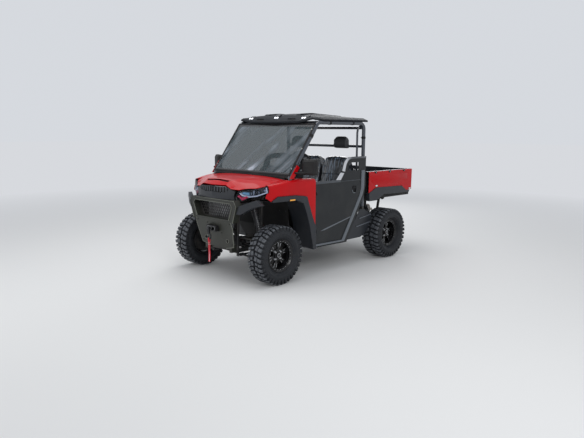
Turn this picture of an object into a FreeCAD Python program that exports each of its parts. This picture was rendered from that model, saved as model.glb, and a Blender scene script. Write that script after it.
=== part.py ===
# Side by side utility vehicle: two-door open cab, three-abreast bench, tilting cargo bed.
# Frame: +X to the front, +Y to the driver's left, +Z up, millimetres, origin on the ground
# under the middle of the length and width.
import FreeCAD, Part
import math
import os
from FreeCAD import Vector as V

# Driving dimensions
WHEELBASE = 2150.0
FRONT_OVERHANG = 425.0     # front axle to the winch hook
REAR_OVERHANG = 665.0      # rear axle to the end of the hitch receiver
TRACK_FRONT = 1420.0
TRACK_REAR = 1400.0
TYRE_D = 686.0             # 27 inch tyres
TYRE_W_FRONT = 229.0
TYRE_W_REAR = 279.0
RIM_D = 380.0              # over the flanges of a 14 inch rim
RIM_W = 178.0
LUG_H = 20.0
LUGS = 18
LUG_YAW = 14.0             # lugs lean against the axle, degrees
SPOKES = 6                 # pairs of spokes in a rim
DISC_R = 105.0             # brake disc

BODY_HALF = 747.0          # outer face of the doors
SKIN = 5.0                 # moulded body panels
PLATE = 6.0                # steel plates
SEAT_GAP = 0.3             # between pieces that seat on each other
MOVE_GAP = 6.0             # between a panel that swings and its neighbour
FIT = 0.05                 # radial clearance of a pin in its hole

RAIL_R = 24.0              # half the side of the square main rails
TUBE_R = 20.0              # other frame tubes
RAIL_Y = 230.0
RAIL_Z = 345.0
CAGE_R = 25.0
CAGE_TOP = 1862.0
A_FOOT_Z = 1219.0
COWL_Z = 1060.0            # cross tube that carries the front feet of the cage
OUTRIGGER_Z = 740.0        # cross tube that carries the rear feet of the cage

KINGPIN_Y = 610.0
STEER_ARM = 100.0
BALL_UP = 97.0             # ball joints above and below the axle
ARM_R = 12.0
BALL_DROP = 18.0           # arm end beyond the upright
PIVOT_R = 12.0
LOWER_PIVOT_Z = 290.0
UPPER_PIVOT_Z = 500.0
UPPER_SPREAD = 130.0
LOWER_SPREAD = 110.0
PIVOT_Y = 240.0
SPINDLE_R = 22.0
RACK_R = 9.0
SHOCK_FOOT_Y = 470.0
SHOCK_FOOT_Z = 500.0
SHOCK_EYE = 40.0
SHOCK_TOP_FRONT = (316.0, 880.0)   # across and up
SHOCK_TOP_REAR = (345.0, 705.0)

HINGE_R = 6.0
HINGE_HEIGHTS = (530.0, 1000.0)
POST_R = 18.0
DOOR_RIM = 24.0            # raised rim round a door
DOOR_RIM_H = 7.0

BED_FLOOR_Z = 842.0
BED_TOP_Z = 1215.0
BED_WALL = 4.0
BED_PIVOT_Z = 770.0
BED_RAIL_Y = 300.0
GATE_Z = 852.0
GATE_T = 26.0
GATE_PIN_R = 8.0
FLOOR_FIELD = 3.0          # raised middle of the bed floor

COLUMN_SLOPE = 41.0        # steering column below the horizontal, degrees
STEER_WHEEL_R = 175.0
ROOF_T = 22.0
ROOF_FALL = 0.38           # slope of the roof's sides over the cage rails
GLASS_T = 6.0

RECEIVER_OUT = 63.5
RECEIVER_IN = 51.5
RECEIVER_L = 220.0
PIN_HOLE_R = 8.0

# Places worked out from the driving dimensions
LENGTH = FRONT_OVERHANG + WHEELBASE + REAR_OVERHANG
FRONT_X = LENGTH / 2 - FRONT_OVERHANG
REAR_X = FRONT_X - WHEELBASE
AXLE_Z = TYRE_D / 2
RECEIVER_END = -LENGTH / 2
RAIL_TOP = RAIL_Z + RAIL_R
RACK_X = FRONT_X - STEER_ARM
RACK_Z = AXLE_Z + 54
FENDER_HALF = BODY_HALF + 10
CAGE_Y = BODY_HALF - 47
POST_Y = BODY_HALF - 57
HINGE_Y = BODY_HALF - 9
CAB_HALF = BODY_HALF - 85
SILL_Y = BODY_HALF - 147
HOOD_HALF = BODY_HALF - 113
BED_HALF = BODY_HALF - 47
GATE_HALF = BODY_HALF - 92
FLOOR_Z = RAIL_TOP + SEAT_GAP

# The tables below give x on a drawing with its axles at these two places. The ends of the
# body keep their distance from their axle, and the cab between them takes up the rest.
DRAWN_FRONT, DRAWN_REAR = 1195.0, -955.0
DRAWN_CAB = (-414.0, 566.0)


def station(x):
    """Where a place on the drawing lies on the vehicle."""
    ahead, behind = FRONT_X - DRAWN_FRONT, REAR_X - DRAWN_REAR
    share = (x - DRAWN_CAB[0]) / (DRAWN_CAB[1] - DRAWN_CAB[0])
    return x + behind + (ahead - behind) * min(1.0, max(0.0, share))


def drawn(points):
    """Points of a table, with their first number moved from the drawing to the vehicle."""
    return [(station(p[0]), *p[1:]) for p in points]


# Across the front, what is drawn beyond the bumper moves out with the side of the body
DRAWN_HALF = 747.0
DRAWN_SPREAD = (480.0, 690.0)


def spread(y):
    """Where a distance from the middle on the drawing lies on the vehicle."""
    share = (y - DRAWN_SPREAD[0]) / (DRAWN_SPREAD[1] - DRAWN_SPREAD[0])
    return y + (BODY_HALF - DRAWN_HALF) * min(1.0, max(0.0, share))


def spread_front(points):
    return [(spread(y), z) for y, z in points]


def spread_plan(points):
    return [(x, spread(y)) for x, y in drawn(points)]


B_PILLAR_X = station(-430.0)
A_TOP_X = station(477.0)
A_FOOT_X = station(955.0)
DOOR_FRONT_X = station(558.0)
HINGE_X = station(548.0)
POST_X = station(585.0)
FIREWALL_X = station(760.0)
CAB_REAR_X = station(-350.0)
BED_FRONT_X = station(-515.0)
BED_REAR_X = station(-1560.0)
BED_PIVOT_X = station(-1400.0)
GATE_X = BED_REAR_X - GATE_T / 2 - 5
WHEEL_POINT = (station(400.0), 400.0, 1370.0)   # centre of the steering wheel
parts = {}


# Helpers
def face_of(points):
    corners = [V(*p) for p in points]
    return Part.Face(Part.makePolygon(corners + corners[:1]))


def prism_y(profile, y0, y1):
    return face_of([(x, y0, z) for x, z in profile]).extrude(V(0, y1 - y0, 0))


def prism_x(profile, x0, x1):
    return face_of([(x0, y, z) for y, z in profile]).extrude(V(x1 - x0, 0, 0))


def prism_z(profile, z0, z1):
    return face_of([(x, y, z0) for x, y in profile]).extrude(V(0, 0, z1 - z0))


def block(x0, x1, y0, y1, z0, z1):
    low = V(min(x0, x1), min(y0, y1), min(z0, z1))
    return Part.makeBox(abs(x1 - x0), abs(y1 - y0), abs(z1 - z0), low)


def rod(a, b, radius):
    start, way = V(*a), V(*b) - V(*a)
    return Part.makeCylinder(radius, way.Length, start, way)


def pipe(points, radius, bend=90.0):
    """A round tube along straight runs joined by arcs of the bend radius."""
    pts = [V(*p) for p in points]
    edges, start = [], pts[0]
    for before, corner, after in zip(pts, pts[1:], pts[2:]):
        back = (before - corner).normalize()
        ahead = (after - corner).normalize()
        half = back.getAngle(ahead) / 2
        trim = bend / math.tan(half)
        middle = corner + (back + ahead).normalize() * (bend / math.sin(half) - bend)
        edges.append(Part.LineSegment(start, corner + back * trim).toShape())
        edges.append(Part.Arc(corner + back * trim, middle, corner + ahead * trim).toShape())
        start = corner + ahead * trim
    edges.append(Part.LineSegment(start, pts[-1]).toShape())
    ring = Part.Wire([Part.makeCircle(radius, pts[0], pts[1] - pts[0])])
    return Part.Wire(edges).makePipeShell([ring], True, False)


def union(*shapes):
    return shapes[0].multiFuse(list(shapes[1:])).removeSplitter() if len(shapes) > 1 else shapes[0]


def mirrored(shape):
    return shape.mirror(V(0, 0, 0), V(0, 1, 0))


def both(shape):
    """The piece and its twin on the right side, as separate solids."""
    return Part.makeCompound(shape.Solids + mirrored(shape).Solids)


def across(shape):
    """One piece that is the same on both sides of the middle."""
    return union(shape, mirrored(shape))


def skin_loft(sections, wall):
    """A curved sheet. Each section is (x, [(y, z) from the middle to the edge])."""
    wires = []
    for x, half in sections:
        top = [(-y, z) for y, z in reversed(half)] + [(y, z) for y, z in half if y > 0]
        under = [(y, z - wall) for y, z in reversed(top)]
        wires.append(Part.makePolygon([V(x, y, z) for y, z in top + under + top[:1]]))
    return Part.makeLoft(wires, True, True)


# Wheels: a faceted carcass with two staggered rows of angled lugs
def tyre(width):
    half = width / 2
    base = TYRE_D / 2 - LUG_H
    # table: share of the half width, radius
    rows = ((-1.0, RIM_D / 2 + 30), (-0.97, base - 30), (-0.8, base), (0.8, base),
            (0.97, base - 30), (1.0, RIM_D / 2 + 30))
    rings = []
    for share, radius in rows:
        corners = [V(radius * math.sin(math.pi * (2 * k + 1) / LUGS), share * half,
                     radius * math.cos(math.pi * (2 * k + 1) / LUGS)) for k in range(LUGS)]
        rings.append(Part.makePolygon(corners + corners[:1]))
    carcass = Part.makeLoft(rings, True, True)
    bore = rod((0, -half - 1, 0), (0, half + 1, 0), RIM_D / 2 + SEAT_GAP)
    carcass = carcass.cut(bore)
    lugs = []
    inner, outer = 0.06 * half, half - 3
    yaw = math.radians(LUG_YAW)
    # both rows reach the ground at once: a lug under the axle, and the two beside it
    reach = TYRE_D / 2 * math.tan(math.pi / (2 * LUGS))
    lug_half = (reach - (0.88 * outer - inner) / 2 * math.sin(yaw)) / math.cos(yaw)
    for side in (-1, 1):
        lug = prism_x([(side * inner, base - 12), (side * outer, base - 50),
                       (side * outer, TYRE_D / 2 - 12), (side * 0.88 * outer, TYRE_D / 2),
                       (side * inner, TYRE_D / 2)], -lug_half, lug_half)
        lug.rotate(V(0, side * (inner + 0.88 * outer) / 2, 0), V(0, 0, 1), -side * LUG_YAW)
        for k in range(LUGS):
            copy = lug.copy()
            shift = 0 if side < 0 else 180.0 / LUGS
            copy.rotate(V(0, 0, 0), V(0, 1, 0), 180 + shift + 360.0 * k / LUGS)
            lugs.append(copy)
    return carcass.multiFuse(lugs)


def rim(face):
    """Barrel, six split spokes and hub, with the wheel face towards +Y at the given place."""
    r, w = RIM_D / 2, RIM_W / 2
    # table: radius, place across the barrel
    profile = [(r, -w), (r, -w + 8), (r - 14, -w + 14), (r - 14, w - 14), (r, w - 8), (r, w),
               (r - 6, w), (r - 20, w - 12), (r - 20, -w + 12), (r - 6, -w)]
    barrel = face_of([(0, y, x) for x, y in profile]).revolve(V(0, 0, 0), V(0, 1, 0), 360)
    disc = rod((0, face - 16, 0), (0, face, 0), r - 19)
    hub = rod((0, -w + 45, 0), (0, face + 14, 0), 48)
    brake = rod((0, -w + 52, 0), (0, -w + 58, 0), DISC_R)
    window = prism_y([(20, 62), (44, r - 34), (-8, r - 26), (-6, 66)], face - 40, face + 10)
    twin = window.mirror(V(0, 0, 0), V(1, 0, 0))
    cuts = []
    for k in range(SPOKES):
        for shape, turn in ((window, 0), (twin, 180 / SPOKES)):
            gap = shape.copy()
            gap.rotate(V(0, 0, 0), V(0, 1, 0), 360 / SPOKES * k + turn)
            cuts.append(gap)
    wheel = union(barrel, disc, hub, brake).cut(Part.makeCompound(cuts))
    bore = rod((0, -RIM_W, 0), (0, face - 4, 0), SPINDLE_R + FIT)
    return wheel.cut(bore)


def wheel_set(name, x, y, width):
    ring, disc = tyre(width), rim(28.0)
    if y < 0:
        ring, disc = mirrored(ring), mirrored(disc)
    for shape, kind in ((ring, "tyre"), (disc, "rim")):
        shape.translate(V(x, y, AXLE_Z))
        parts[f"{kind}_{name}"] = shape


for end, axle, track, width in (("front", FRONT_X, TRACK_FRONT, TYRE_W_FRONT),
                                ("rear", REAR_X, TRACK_REAR, TYRE_W_REAR)):
    for side, sign in (("left", 1), ("right", -1)):
        wheel_set(f"{end}_{side}", axle, sign * track / 2, width)


# Hub carriers: an upright with a spindle; the front ones turn and have a steering arm
def upright(x, wheel_y, steered):
    y = wheel_y - TRACK_FRONT / 2 + KINGPIN_Y
    z = AXLE_Z
    body = block(x - 25, x + 25, y - 20, y + 14, z - BALL_UP, z + BALL_UP)
    boss = rod((x, y + 10, z), (x, wheel_y - RIM_W / 2 + 45 - SEAT_GAP, z), 46)
    spindle = rod((x, y + 20, z), (x, wheel_y + 14, z), SPINDLE_R)
    pieces = [body, boss, spindle]
    if steered:
        pieces.append(block(x - STEER_ARM - 14, x - 20, y - 30, y - 10, z + 69, z + 79))
    return union(*pieces)


parts["knuckle_left"] = upright(FRONT_X, TRACK_FRONT / 2, True)
parts["knuckle_right"] = mirrored(parts["knuckle_left"])
parts["rear_carriers"] = both(upright(REAR_X, TRACK_REAR / 2, False))


# Suspension: double arms on each side, with a coil-over shock on the upper arm
def arms(x, wheel_y):
    y = wheel_y - TRACK_FRONT / 2 + KINGPIN_Y
    solids = []
    # table: pivot height, ball height, half spread at the pivots, ball housing from and to
    for pivot_z, ball_z, spread, z0, z1 in (
            (UPPER_PIVOT_Z, AXLE_Z + BALL_UP + BALL_DROP, UPPER_SPREAD,
             AXLE_Z + BALL_UP + SEAT_GAP, AXLE_Z + BALL_UP + 32),
            (LOWER_PIVOT_Z, AXLE_Z - BALL_UP - BALL_DROP, LOWER_SPREAD,
             AXLE_Z - BALL_UP - 32, AXLE_Z - BALL_UP - SEAT_GAP)):
        pieces = [rod((x, y, z0), (x, y, z1), 18)]
        for sign in (-1, 1):
            foot = (x + sign * spread, PIVOT_Y, pivot_z)
            pieces.append(rod(foot, (x, y, ball_z), ARM_R))
            pieces.append(rod((foot[0] - 22, PIVOT_Y, pivot_z), (foot[0] + 22, PIVOT_Y, pivot_z), 20))
        if pivot_z == UPPER_PIVOT_Z:
            share = (SHOCK_FOOT_Y - PIVOT_Y) / (y - PIVOT_Y)
            level = pivot_z + (ball_z - pivot_z) * share
            reach = spread * (1 - share) + 4
            pieces.append(block(x - reach, x + reach, SHOCK_FOOT_Y - 16, SHOCK_FOOT_Y + 16,
                                level - 10, level + 4))
            for sign in (-1, 1):
                edge = x + sign * (SHOCK_EYE / 2 + SEAT_GAP)
                pieces.append(block(edge, edge + sign * 7, SHOCK_FOOT_Y - 16, SHOCK_FOOT_Y + 16,
                                    level, level + 44))
        arm = union(*pieces)
        arm = arm.cut(rod((x - 400, PIVOT_Y, pivot_z), (x + 400, PIVOT_Y, pivot_z), PIVOT_R + FIT))
        solids.append(arm)
    return solids


def shock(x, top):
    """A coil-over shock between its lower eye and its top eye, with the spring as coils."""
    foot, head = V(x, SHOCK_FOOT_Y, SHOCK_FOOT_Z), V(x, top[0], top[1])
    way = head - foot
    unit = V(way).normalize()
    eyes = [rod((x - SHOCK_EYE / 2, p.y, p.z), (x + SHOCK_EYE / 2, p.y, p.z), 15) for p in (foot, head)]
    core = Part.makeCylinder(19, way.Length - 26, foot + unit * 13, unit)
    body = Part.makeCylinder(27, way.Length * 0.3, foot + unit * (way.Length * 0.6), unit)
    pieces = eyes + [core, body]
    pitch, thick = 24.0, 9.0
    count = int((way.Length - 84) / pitch)
    for k in range(count):
        pieces.append(Part.makeCylinder(38, thick, foot + unit * (30 + pitch * k), unit))
    return union(*pieces)


arm_solids, shock_solids = [], []
for axle, track, top in ((FRONT_X, TRACK_FRONT, SHOCK_TOP_FRONT), (REAR_X, TRACK_REAR, SHOCK_TOP_REAR)):
    arm_solids += arms(axle, track / 2)
    shock_solids.append(shock(axle, top))
parts["suspension_arms"] = both(Part.makeCompound(arm_solids))
parts["shocks"] = both(Part.makeCompound(shock_solids))


# Drive line: a gear case at each axle, with a half shaft and boots to each wheel
CASE_R = 58.0
CASE_HALF = 91.0
CASE_Z = AXLE_Z + 72         # gear cases sit above the rails
SHAFT_R = 13.0
BOOT_R = 36.0


def half_shaft(x, y_end):
    """A shaft that falls from the gear case to the hub, with a boot at each end."""
    start, end = V(x, CASE_HALF - 2, CASE_Z), V(x, y_end, AXLE_Z)
    way = (end - start).normalize()
    inner, outer = start + way * 60, end - way * 50
    return union(rod(start, end, SHAFT_R), rod(start, inner, BOOT_R), rod(outer, end, BOOT_R))


cases = []
for axle, track in ((FRONT_X, TRACK_FRONT), (REAR_X, TRACK_REAR)):
    shaft_end = track / 2 - TRACK_FRONT / 2 + KINGPIN_Y - 45
    case = rod((axle, -CASE_HALF, CASE_Z), (axle, CASE_HALF, CASE_Z), CASE_R)
    shaft = half_shaft(axle, shaft_end)
    saddle = block(axle - 30, axle + 30, -RAIL_Y, RAIL_Y, RAIL_TOP + SEAT_GAP, RAIL_TOP + 8)
    cases.append(union(case, saddle, shaft, mirrored(shaft)))
parts["drive_line"] = Part.makeCompound(cases)


# Frame: square main rails with welded round tube: sills, door posts, cowl and outrigger
RAIL_END = FRONT_X + 210
TAIL_X = BED_PIVOT_X + 20
MID_X = (POST_X + B_PILLAR_X) / 2 + 22.5


def frame_half():
    tubes = [
        block(RAIL_END, TAIL_X, RAIL_Y - RAIL_R, RAIL_Y + RAIL_R, RAIL_Z - RAIL_R, RAIL_TOP),
        rod((POST_X, SILL_Y, RAIL_Z), (B_PILLAR_X, SILL_Y, RAIL_Z), 22),
        rod((POST_X, 0, RAIL_Z), (POST_X, POST_Y, RAIL_Z), TUBE_R),
        rod((MID_X, 0, RAIL_Z), (MID_X, SILL_Y, RAIL_Z), TUBE_R),
        rod((B_PILLAR_X, 0, RAIL_Z), (B_PILLAR_X, SILL_Y + 20, RAIL_Z), TUBE_R),
        pipe([(POST_X, POST_Y, RAIL_Z), (POST_X, POST_Y, COWL_Z), (A_FOOT_X, POST_Y, COWL_Z)], POST_R, 70),
        rod((A_FOOT_X, 0, COWL_Z), (A_FOOT_X, CAGE_Y + 18, COWL_Z), TUBE_R),
        rod((B_PILLAR_X, 0, OUTRIGGER_Z), (B_PILLAR_X, CAGE_Y + 20, OUTRIGGER_Z), TUBE_R),
        rod((B_PILLAR_X, BED_RAIL_Y, OUTRIGGER_Z), (B_PILLAR_X, RAIL_Y, RAIL_Z), TUBE_R),
        rod((B_PILLAR_X, SILL_Y, OUTRIGGER_Z), (B_PILLAR_X, SILL_Y, RAIL_Z), 19),
        block(TAIL_X + 32, TAIL_X - 20, 0, RAIL_Y - 12, RAIL_Z - RAIL_R, RAIL_TOP),
        rod((RAIL_END - 20, 0, RAIL_Z), (RAIL_END - 20, RAIL_Y, RAIL_Z), TUBE_R),
    ]
    # hinge arms of the doors
    for z in HINGE_HEIGHTS:
        arm = prism_z([(POST_X - 6, POST_Y), (POST_X + 8, POST_Y + 10), (HINGE_X + 7, HINGE_Y + 6),
                       (HINGE_X - 7, HINGE_Y - 8)], z - 13, z + 13)
        eye = rod((HINGE_X, HINGE_Y, z - 13), (HINGE_X, HINGE_Y, z + 13), 8.5)
        tubes.append(union(arm, eye))
    return tubes


tubes = frame_half()
tubes += [mirrored(tube) for tube in tubes]
holes = [rod((HINGE_X, s * HINGE_Y, z - 20), (HINGE_X, s * HINGE_Y, z + 20), HINGE_R + FIT)
         for z in HINGE_HEIGHTS for s in (-1, 1)]
parts["frame"] = tubes[0].multiFuse(tubes[1:]).cut(Part.makeCompound(holes))

# What the front tower and the bed carrier stand on, with the gap of a welded seat
rail_seat = block(RAIL_END + 5, TAIL_X - 5, RAIL_Y - RAIL_R - SEAT_GAP, RAIL_Y + RAIL_R + SEAT_GAP,
                  RAIL_Z - RAIL_R - SEAT_GAP, FLOOR_Z)
cowl_seat = rod((A_FOOT_X, 0, COWL_Z), (A_FOOT_X, CAGE_Y, COWL_Z), TUBE_R + SEAT_GAP)
rest_seat = rod((B_PILLAR_X, 0, OUTRIGGER_Z), (B_PILLAR_X, CAGE_Y, OUTRIGGER_Z), TUBE_R + SEAT_GAP)
TOWER_TOP = SHOCK_TOP_FRONT[1] + 30
TOWER_Y = PIVOT_Y + 20


def mountings(axle, ahead, behind, eye, hang_y):
    """Pivot tubes of both arms with their brackets, and the ears that hold the shock."""
    tubes = []
    for z in (LOWER_PIVOT_Z, UPPER_PIVOT_Z):
        tubes.append(rod((axle - behind, PIVOT_Y, z), (axle + ahead, PIVOT_Y, z), PIVOT_R))
    for x in (axle - behind + 8, axle + ahead - 8):
        tubes.append(block(x - 8, x + 8, PIVOT_Y - 22, PIVOT_Y + 14, LOWER_PIVOT_Z - 14, RAIL_Z))
        tubes.append(block(x - 8, x + 8, PIVOT_Y - 22, PIVOT_Y + 14, RAIL_Z, UPPER_PIVOT_Z + 14))
    for sign in (-1, 1):
        edge = axle + sign * (SHOCK_EYE / 2 + SEAT_GAP)
        tubes.append(block(edge, edge + sign * 7, hang_y - 12, eye[0] + 16, eye[1] - 14, eye[1] + 60))
    return tubes


# Front tower over the axle, which carries the arms, the shocks and the steering rack
near, far = FRONT_X + 180, FRONT_X - 195
tower = [rod((x, PIVOT_Y, RAIL_Z), (x, TOWER_Y, TOWER_TOP), TUBE_R) for x in (near, far)]
tower.append(rod((near, TOWER_Y, TOWER_TOP), (far, TOWER_Y, TOWER_TOP), TUBE_R))
tower.append(rod((far, TOWER_Y, TOWER_TOP), (A_FOOT_X, PIVOT_Y + 40, COWL_Z), TUBE_R))
tower.append(rod((near, 0, TOWER_TOP), (near, TOWER_Y, TOWER_TOP), TUBE_R))
guide = block(RACK_X - 18, RACK_X + 18, RAIL_Y - 18, RAIL_Y - 8, RAIL_TOP - 4, RACK_Z + 18)
tower.append(guide.cut(rod((RACK_X, 0, RACK_Z), (RACK_X, CAB_HALF, RACK_Z), RACK_R + FIT)))
tower += mountings(FRONT_X, 175, 195, SHOCK_TOP_FRONT, TOWER_Y)
half = tower[0].multiFuse(tower[1:]).cut(rail_seat).cut(cowl_seat)
parts["front_tower"] = half.multiFuse([mirrored(half)])

# Bed carrier: rails from the outrigger to the tipping pivot, over the rear arms and shocks
carrier = [
    rod((B_PILLAR_X, BED_RAIL_Y, BED_PIVOT_Z - 14), (BED_PIVOT_X, BED_RAIL_Y, BED_PIVOT_Z), TUBE_R),
    rod((BED_PIVOT_X, 0, BED_PIVOT_Z), (BED_PIVOT_X, BED_RAIL_Y + 70, BED_PIVOT_Z), TUBE_R),
    rod((TAIL_X, RAIL_Y, RAIL_Z), (TAIL_X, BED_RAIL_Y, BED_PIVOT_Z), TUBE_R),
]
carrier += mountings(REAR_X, 175, 175, SHOCK_TOP_REAR, BED_RAIL_Y)
tail_seat = block(TAIL_X - 40, TAIL_X + 40, 0, RAIL_Y + RAIL_R + SEAT_GAP, RAIL_Z - RAIL_R - 40, FLOOR_Z)
half = carrier[0].multiFuse(carrier[1:]).cut(rail_seat).cut(rest_seat).cut(tail_seat)
parts["bed_carrier"] = half.multiFuse([mirrored(half)])

# Engine and gearbox under the bed, as one block, with the silencer behind it
ENGINE_X = REAR_X + 300
parts["engine"] = union(block(ENGINE_X - 185, ENGINE_X + 185, -195, 195, FLOOR_Z, 700),
                        block(ENGINE_X - 115, ENGINE_X + 95, -RAIL_Y - 10, RAIL_Y + 10, FLOOR_Z, 420))
SILENCER_X, SILENCER_Z = REAR_X - 290, 600.0
stands = [rod((SILENCER_X, y, SILENCER_Z), (SILENCER_X, y, RAIL_TOP + 5), 10) for y in (-150, 150)]
parts["silencer"] = union(rod((SILENCER_X, -190, SILENCER_Z), (SILENCER_X, 190, SILENCER_Z), 72),
                          rod((SILENCER_X, 120, SILENCER_Z - 30), (SILENCER_X - 185, 120, SILENCER_Z - 30), 24),
                          block(SILENCER_X - 12, SILENCER_X + 12, -RAIL_Y, RAIL_Y, FLOOR_Z, RAIL_TOP + 10),
                          *stands)

# Under-body plate
PLATE_BACK_X = station(500.0)
SKID_TOP = RAIL_Z - RAIL_R - SEAT_GAP
parts["skid_plate"] = union(
    block(station(560.0), station(-340.0), 55 - SILL_Y, SILL_Y - 55, SKID_TOP - PLATE, SKID_TOP),
    block(FRONT_X - 85, PLATE_BACK_X, 25 - RAIL_Y, RAIL_Y - 25, SKID_TOP - PLATE, SKID_TOP))


# Hitch receiver
receiver = block(RECEIVER_END, RECEIVER_END + RECEIVER_L, -RECEIVER_OUT / 2, RECEIVER_OUT / 2,
                 FLOOR_Z, FLOOR_Z + RECEIVER_OUT)
RECEIVER_Z = FLOOR_Z + RECEIVER_OUT / 2
socket = block(RECEIVER_END - 1, RECEIVER_END + RECEIVER_L - 12, -RECEIVER_IN / 2, RECEIVER_IN / 2,
               RECEIVER_Z - RECEIVER_IN / 2, RECEIVER_Z + RECEIVER_IN / 2)
pin_hole = rod((RECEIVER_END + 40, -60, RECEIVER_Z), (RECEIVER_END + 40, 60, RECEIVER_Z), PIN_HOLE_R)
parts["hitch_receiver"] = receiver.cut(socket).cut(pin_hole)


RING_TOP = 968.0

# Cage: one bent tube each side, and the cross bars between them
side = pipe([(B_PILLAR_X, CAGE_Y, OUTRIGGER_Z + TUBE_R + SEAT_GAP), (B_PILLAR_X, CAGE_Y, CAGE_TOP),
             (A_TOP_X, CAGE_Y, CAGE_TOP), (A_FOOT_X, CAGE_Y, A_FOOT_Z),
             (A_FOOT_X, CAGE_Y, COWL_Z + TUBE_R + SEAT_GAP)], CAGE_R, 80)
parts["cage_side_left"] = side
parts["cage_side_right"] = mirrored(side)
BAR_END = CAGE_Y - CAGE_R - SEAT_GAP
HEADREST_Z = 1560.0
bars = []
for x, z, r in ((A_TOP_X - 60, CAGE_TOP, 18), (B_PILLAR_X, CAGE_TOP - 60, 18),
                (B_PILLAR_X, HEADREST_Z, 18), (B_PILLAR_X, 1235, 18)):
    bars.append(rod((x, -BAR_END, z), (x, BAR_END, z), r))
parts["cage_crossbars"] = Part.makeCompound(bars)

# Roof: a thick moulded panel whose front falls to a visor over the windscreen
def roof_side(y):
    """Height of the roof's side where it rests on the cage rail."""
    rest = (CAGE_R + SEAT_GAP) * math.sqrt(1 + ROOF_FALL ** 2)
    return CAGE_TOP + rest + ROOF_T - (y - CAGE_Y) * ROOF_FALL


roof_edge = [(y, roof_side(y)) for y in (CAGE_Y - 48, CAGE_Y + 28)]
# table: station, height at the middle and at the shoulder, drop of the side edges
roof_rows = []
for x, mid, shoulder, drop in ((-478, 1950, 1944, 0), (180, 1984, 1974, 0), (438, 1958, 1950, 0),
                               (500, 1922, 1916, 4), (556, 1872, 1868, 34)):
    edge = [(y, z - drop) for y, z in roof_edge]
    roof_rows.append((station(x), [(0, mid), (CAGE_Y - 270, shoulder)] + edge))
roof = skin_loft(roof_rows, ROOF_T)
roof_plan = drawn(((-478, CAGE_Y + 28), (404, CAGE_Y + 28), (505, CAGE_Y - 6), (540, CAGE_Y - 150), (556, 0)))
roof_plan += [(x, -y) for x, y in reversed(roof_plan[:-1])]
roof = roof.common(prism_z(roof_plan, 1700, 2100))
VENT_Y, VENT_HALF, LAMP_Y = 290.0, 65.0, 500.0
for s in (-1, 1):
    # an air slot in the visor, and a rib on the roof behind it
    vent = drawn(((510, 1902), (524, 1889), (536, 1904), (522, 1917)))
    roof = roof.cut(prism_y(vent, s * (VENT_Y - VENT_HALF), s * (VENT_Y + VENT_HALF)))
    rib = prism_y(drawn(((-440, 1944), (-400, 1962), (180, 1988), (380, 1974), (404, 1958), (180, 1970))),
                  s * (VENT_Y - 40), s * (VENT_Y + 40))
    roof = union(roof, rib)
lamps = []
for y, lower in ((-LAMP_Y, 18), (0.0, 0), (LAMP_Y, 18)):
    lamp_side = ((438, 1970 - lower), (480, 1951 - lower), (490, 1925 - lower), (432, 1952 - lower))
    lamps.append(prism_y(drawn(lamp_side), y - 38, y + 38))
for lamp in lamps:
    roof = roof.cut(lamp)
parts["roof"] = roof
parts["roof_lamps"] = Part.makeCompound(lamps)

# Windscreen: a clear pane clamped to the front of the cage
slope = V(A_FOOT_X - A_TOP_X, 0, A_FOOT_Z - CAGE_TOP).normalize()
out = V(-slope.z, 0, slope.x)
low = V(A_FOOT_X, 0, A_FOOT_Z) + out * (CAGE_R + SEAT_GAP) - slope * 12
high = V(A_TOP_X, 0, CAGE_TOP) + out * (CAGE_R + SEAT_GAP) + slope * 40
pane = [(low.x, low.z), (high.x, high.z), (high.x + out.x * GLASS_T, high.z + out.z * GLASS_T),
        (low.x + out.x * GLASS_T, low.z + out.z * GLASS_T)]
parts["windscreen"] = prism_y(pane, -CAGE_Y - 4, CAGE_Y + 4)

# Hood: a raised middle between two creases, an air slot, and a nose that falls to the fascia
hood_rows = ((1004, ((0, 1222), (290, 1219), (450, 1211), (560, 1203), (640, 1194))),
             (1200, ((0, 1213), (280, 1209), (430, 1193), (560, 1176), (640, 1163))),
             (1300, ((0, 1207), (262, 1202), (400, 1176), (560, 1138), (640, 1128))),
             (1400, ((0, 1198), (240, 1190), (380, 1142), (560, 1085), (640, 1070))),
             (1450, ((0, 1190), (225, 1178), (340, 1125), (520, 1066), (640, 1050))),
             (1500, ((0, 1160), (215, 1148), (300, 1102), (460, 1060), (640, 1040))),
             (1545, ((0, 1128), (210, 1118), (270, 1082), (420, 1040), (640, 1020))))
hood_rows = [(x, spread_front(half)) for x, half in drawn(hood_rows)]
hood_plan = drawn(((1004, HOOD_HALF), (1286, HOOD_HALF)))
hood_plan += spread_plan(((1352, 560), (1425, 450), (1475, 400), (1510, 300), (1540, 0)))
hood_plan += [(x, -y) for x, y in reversed(hood_plan[:-1])]
hood = skin_loft(hood_rows, SKIN).common(prism_z(hood_plan, 1000, 1300))
slot = prism_z(drawn(((1438, -215), (1438, 215), (1468, 190), (1468, -190))), 1100, 1300)
parts["hood"] = hood.cut(slot)

# Fenders: one moulding a side, round at the shoulder and drawn in towards the lamp
SHOULDER = 40.0
# table: station, outer face, height of the top
fender_rows = ((564, 0, 1189), (900, 0, 1203), (1040, -2, 1186), (1160, -15, 1168), (1287, -57, 1148),
               (1332, -85, 1130))


def fender_section(x, out, top):
    """The outline across one fender: its top, round shoulder and side, one skin thick."""
    turn = [math.radians(22.5 * k) for k in range(5)]
    curve = [(out - SHOULDER * (1 - math.sin(a)), top - SHOULDER * (1 - math.cos(a))) for a in turn]
    inside = [(out - SKIN - (SHOULDER - SKIN) * (1 - math.sin(a)),
               top - SKIN - (SHOULDER - SKIN) * (1 - math.cos(a))) for a in reversed(turn)]
    edge = HOOD_HALF + 1
    line = [(edge, top)] + curve + [(out, 600), (out - SKIN, 600)] + inside + [(edge, top - SKIN)]
    return Part.makePolygon([V(x, y, z) for y, z in line + line[:1]])


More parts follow.
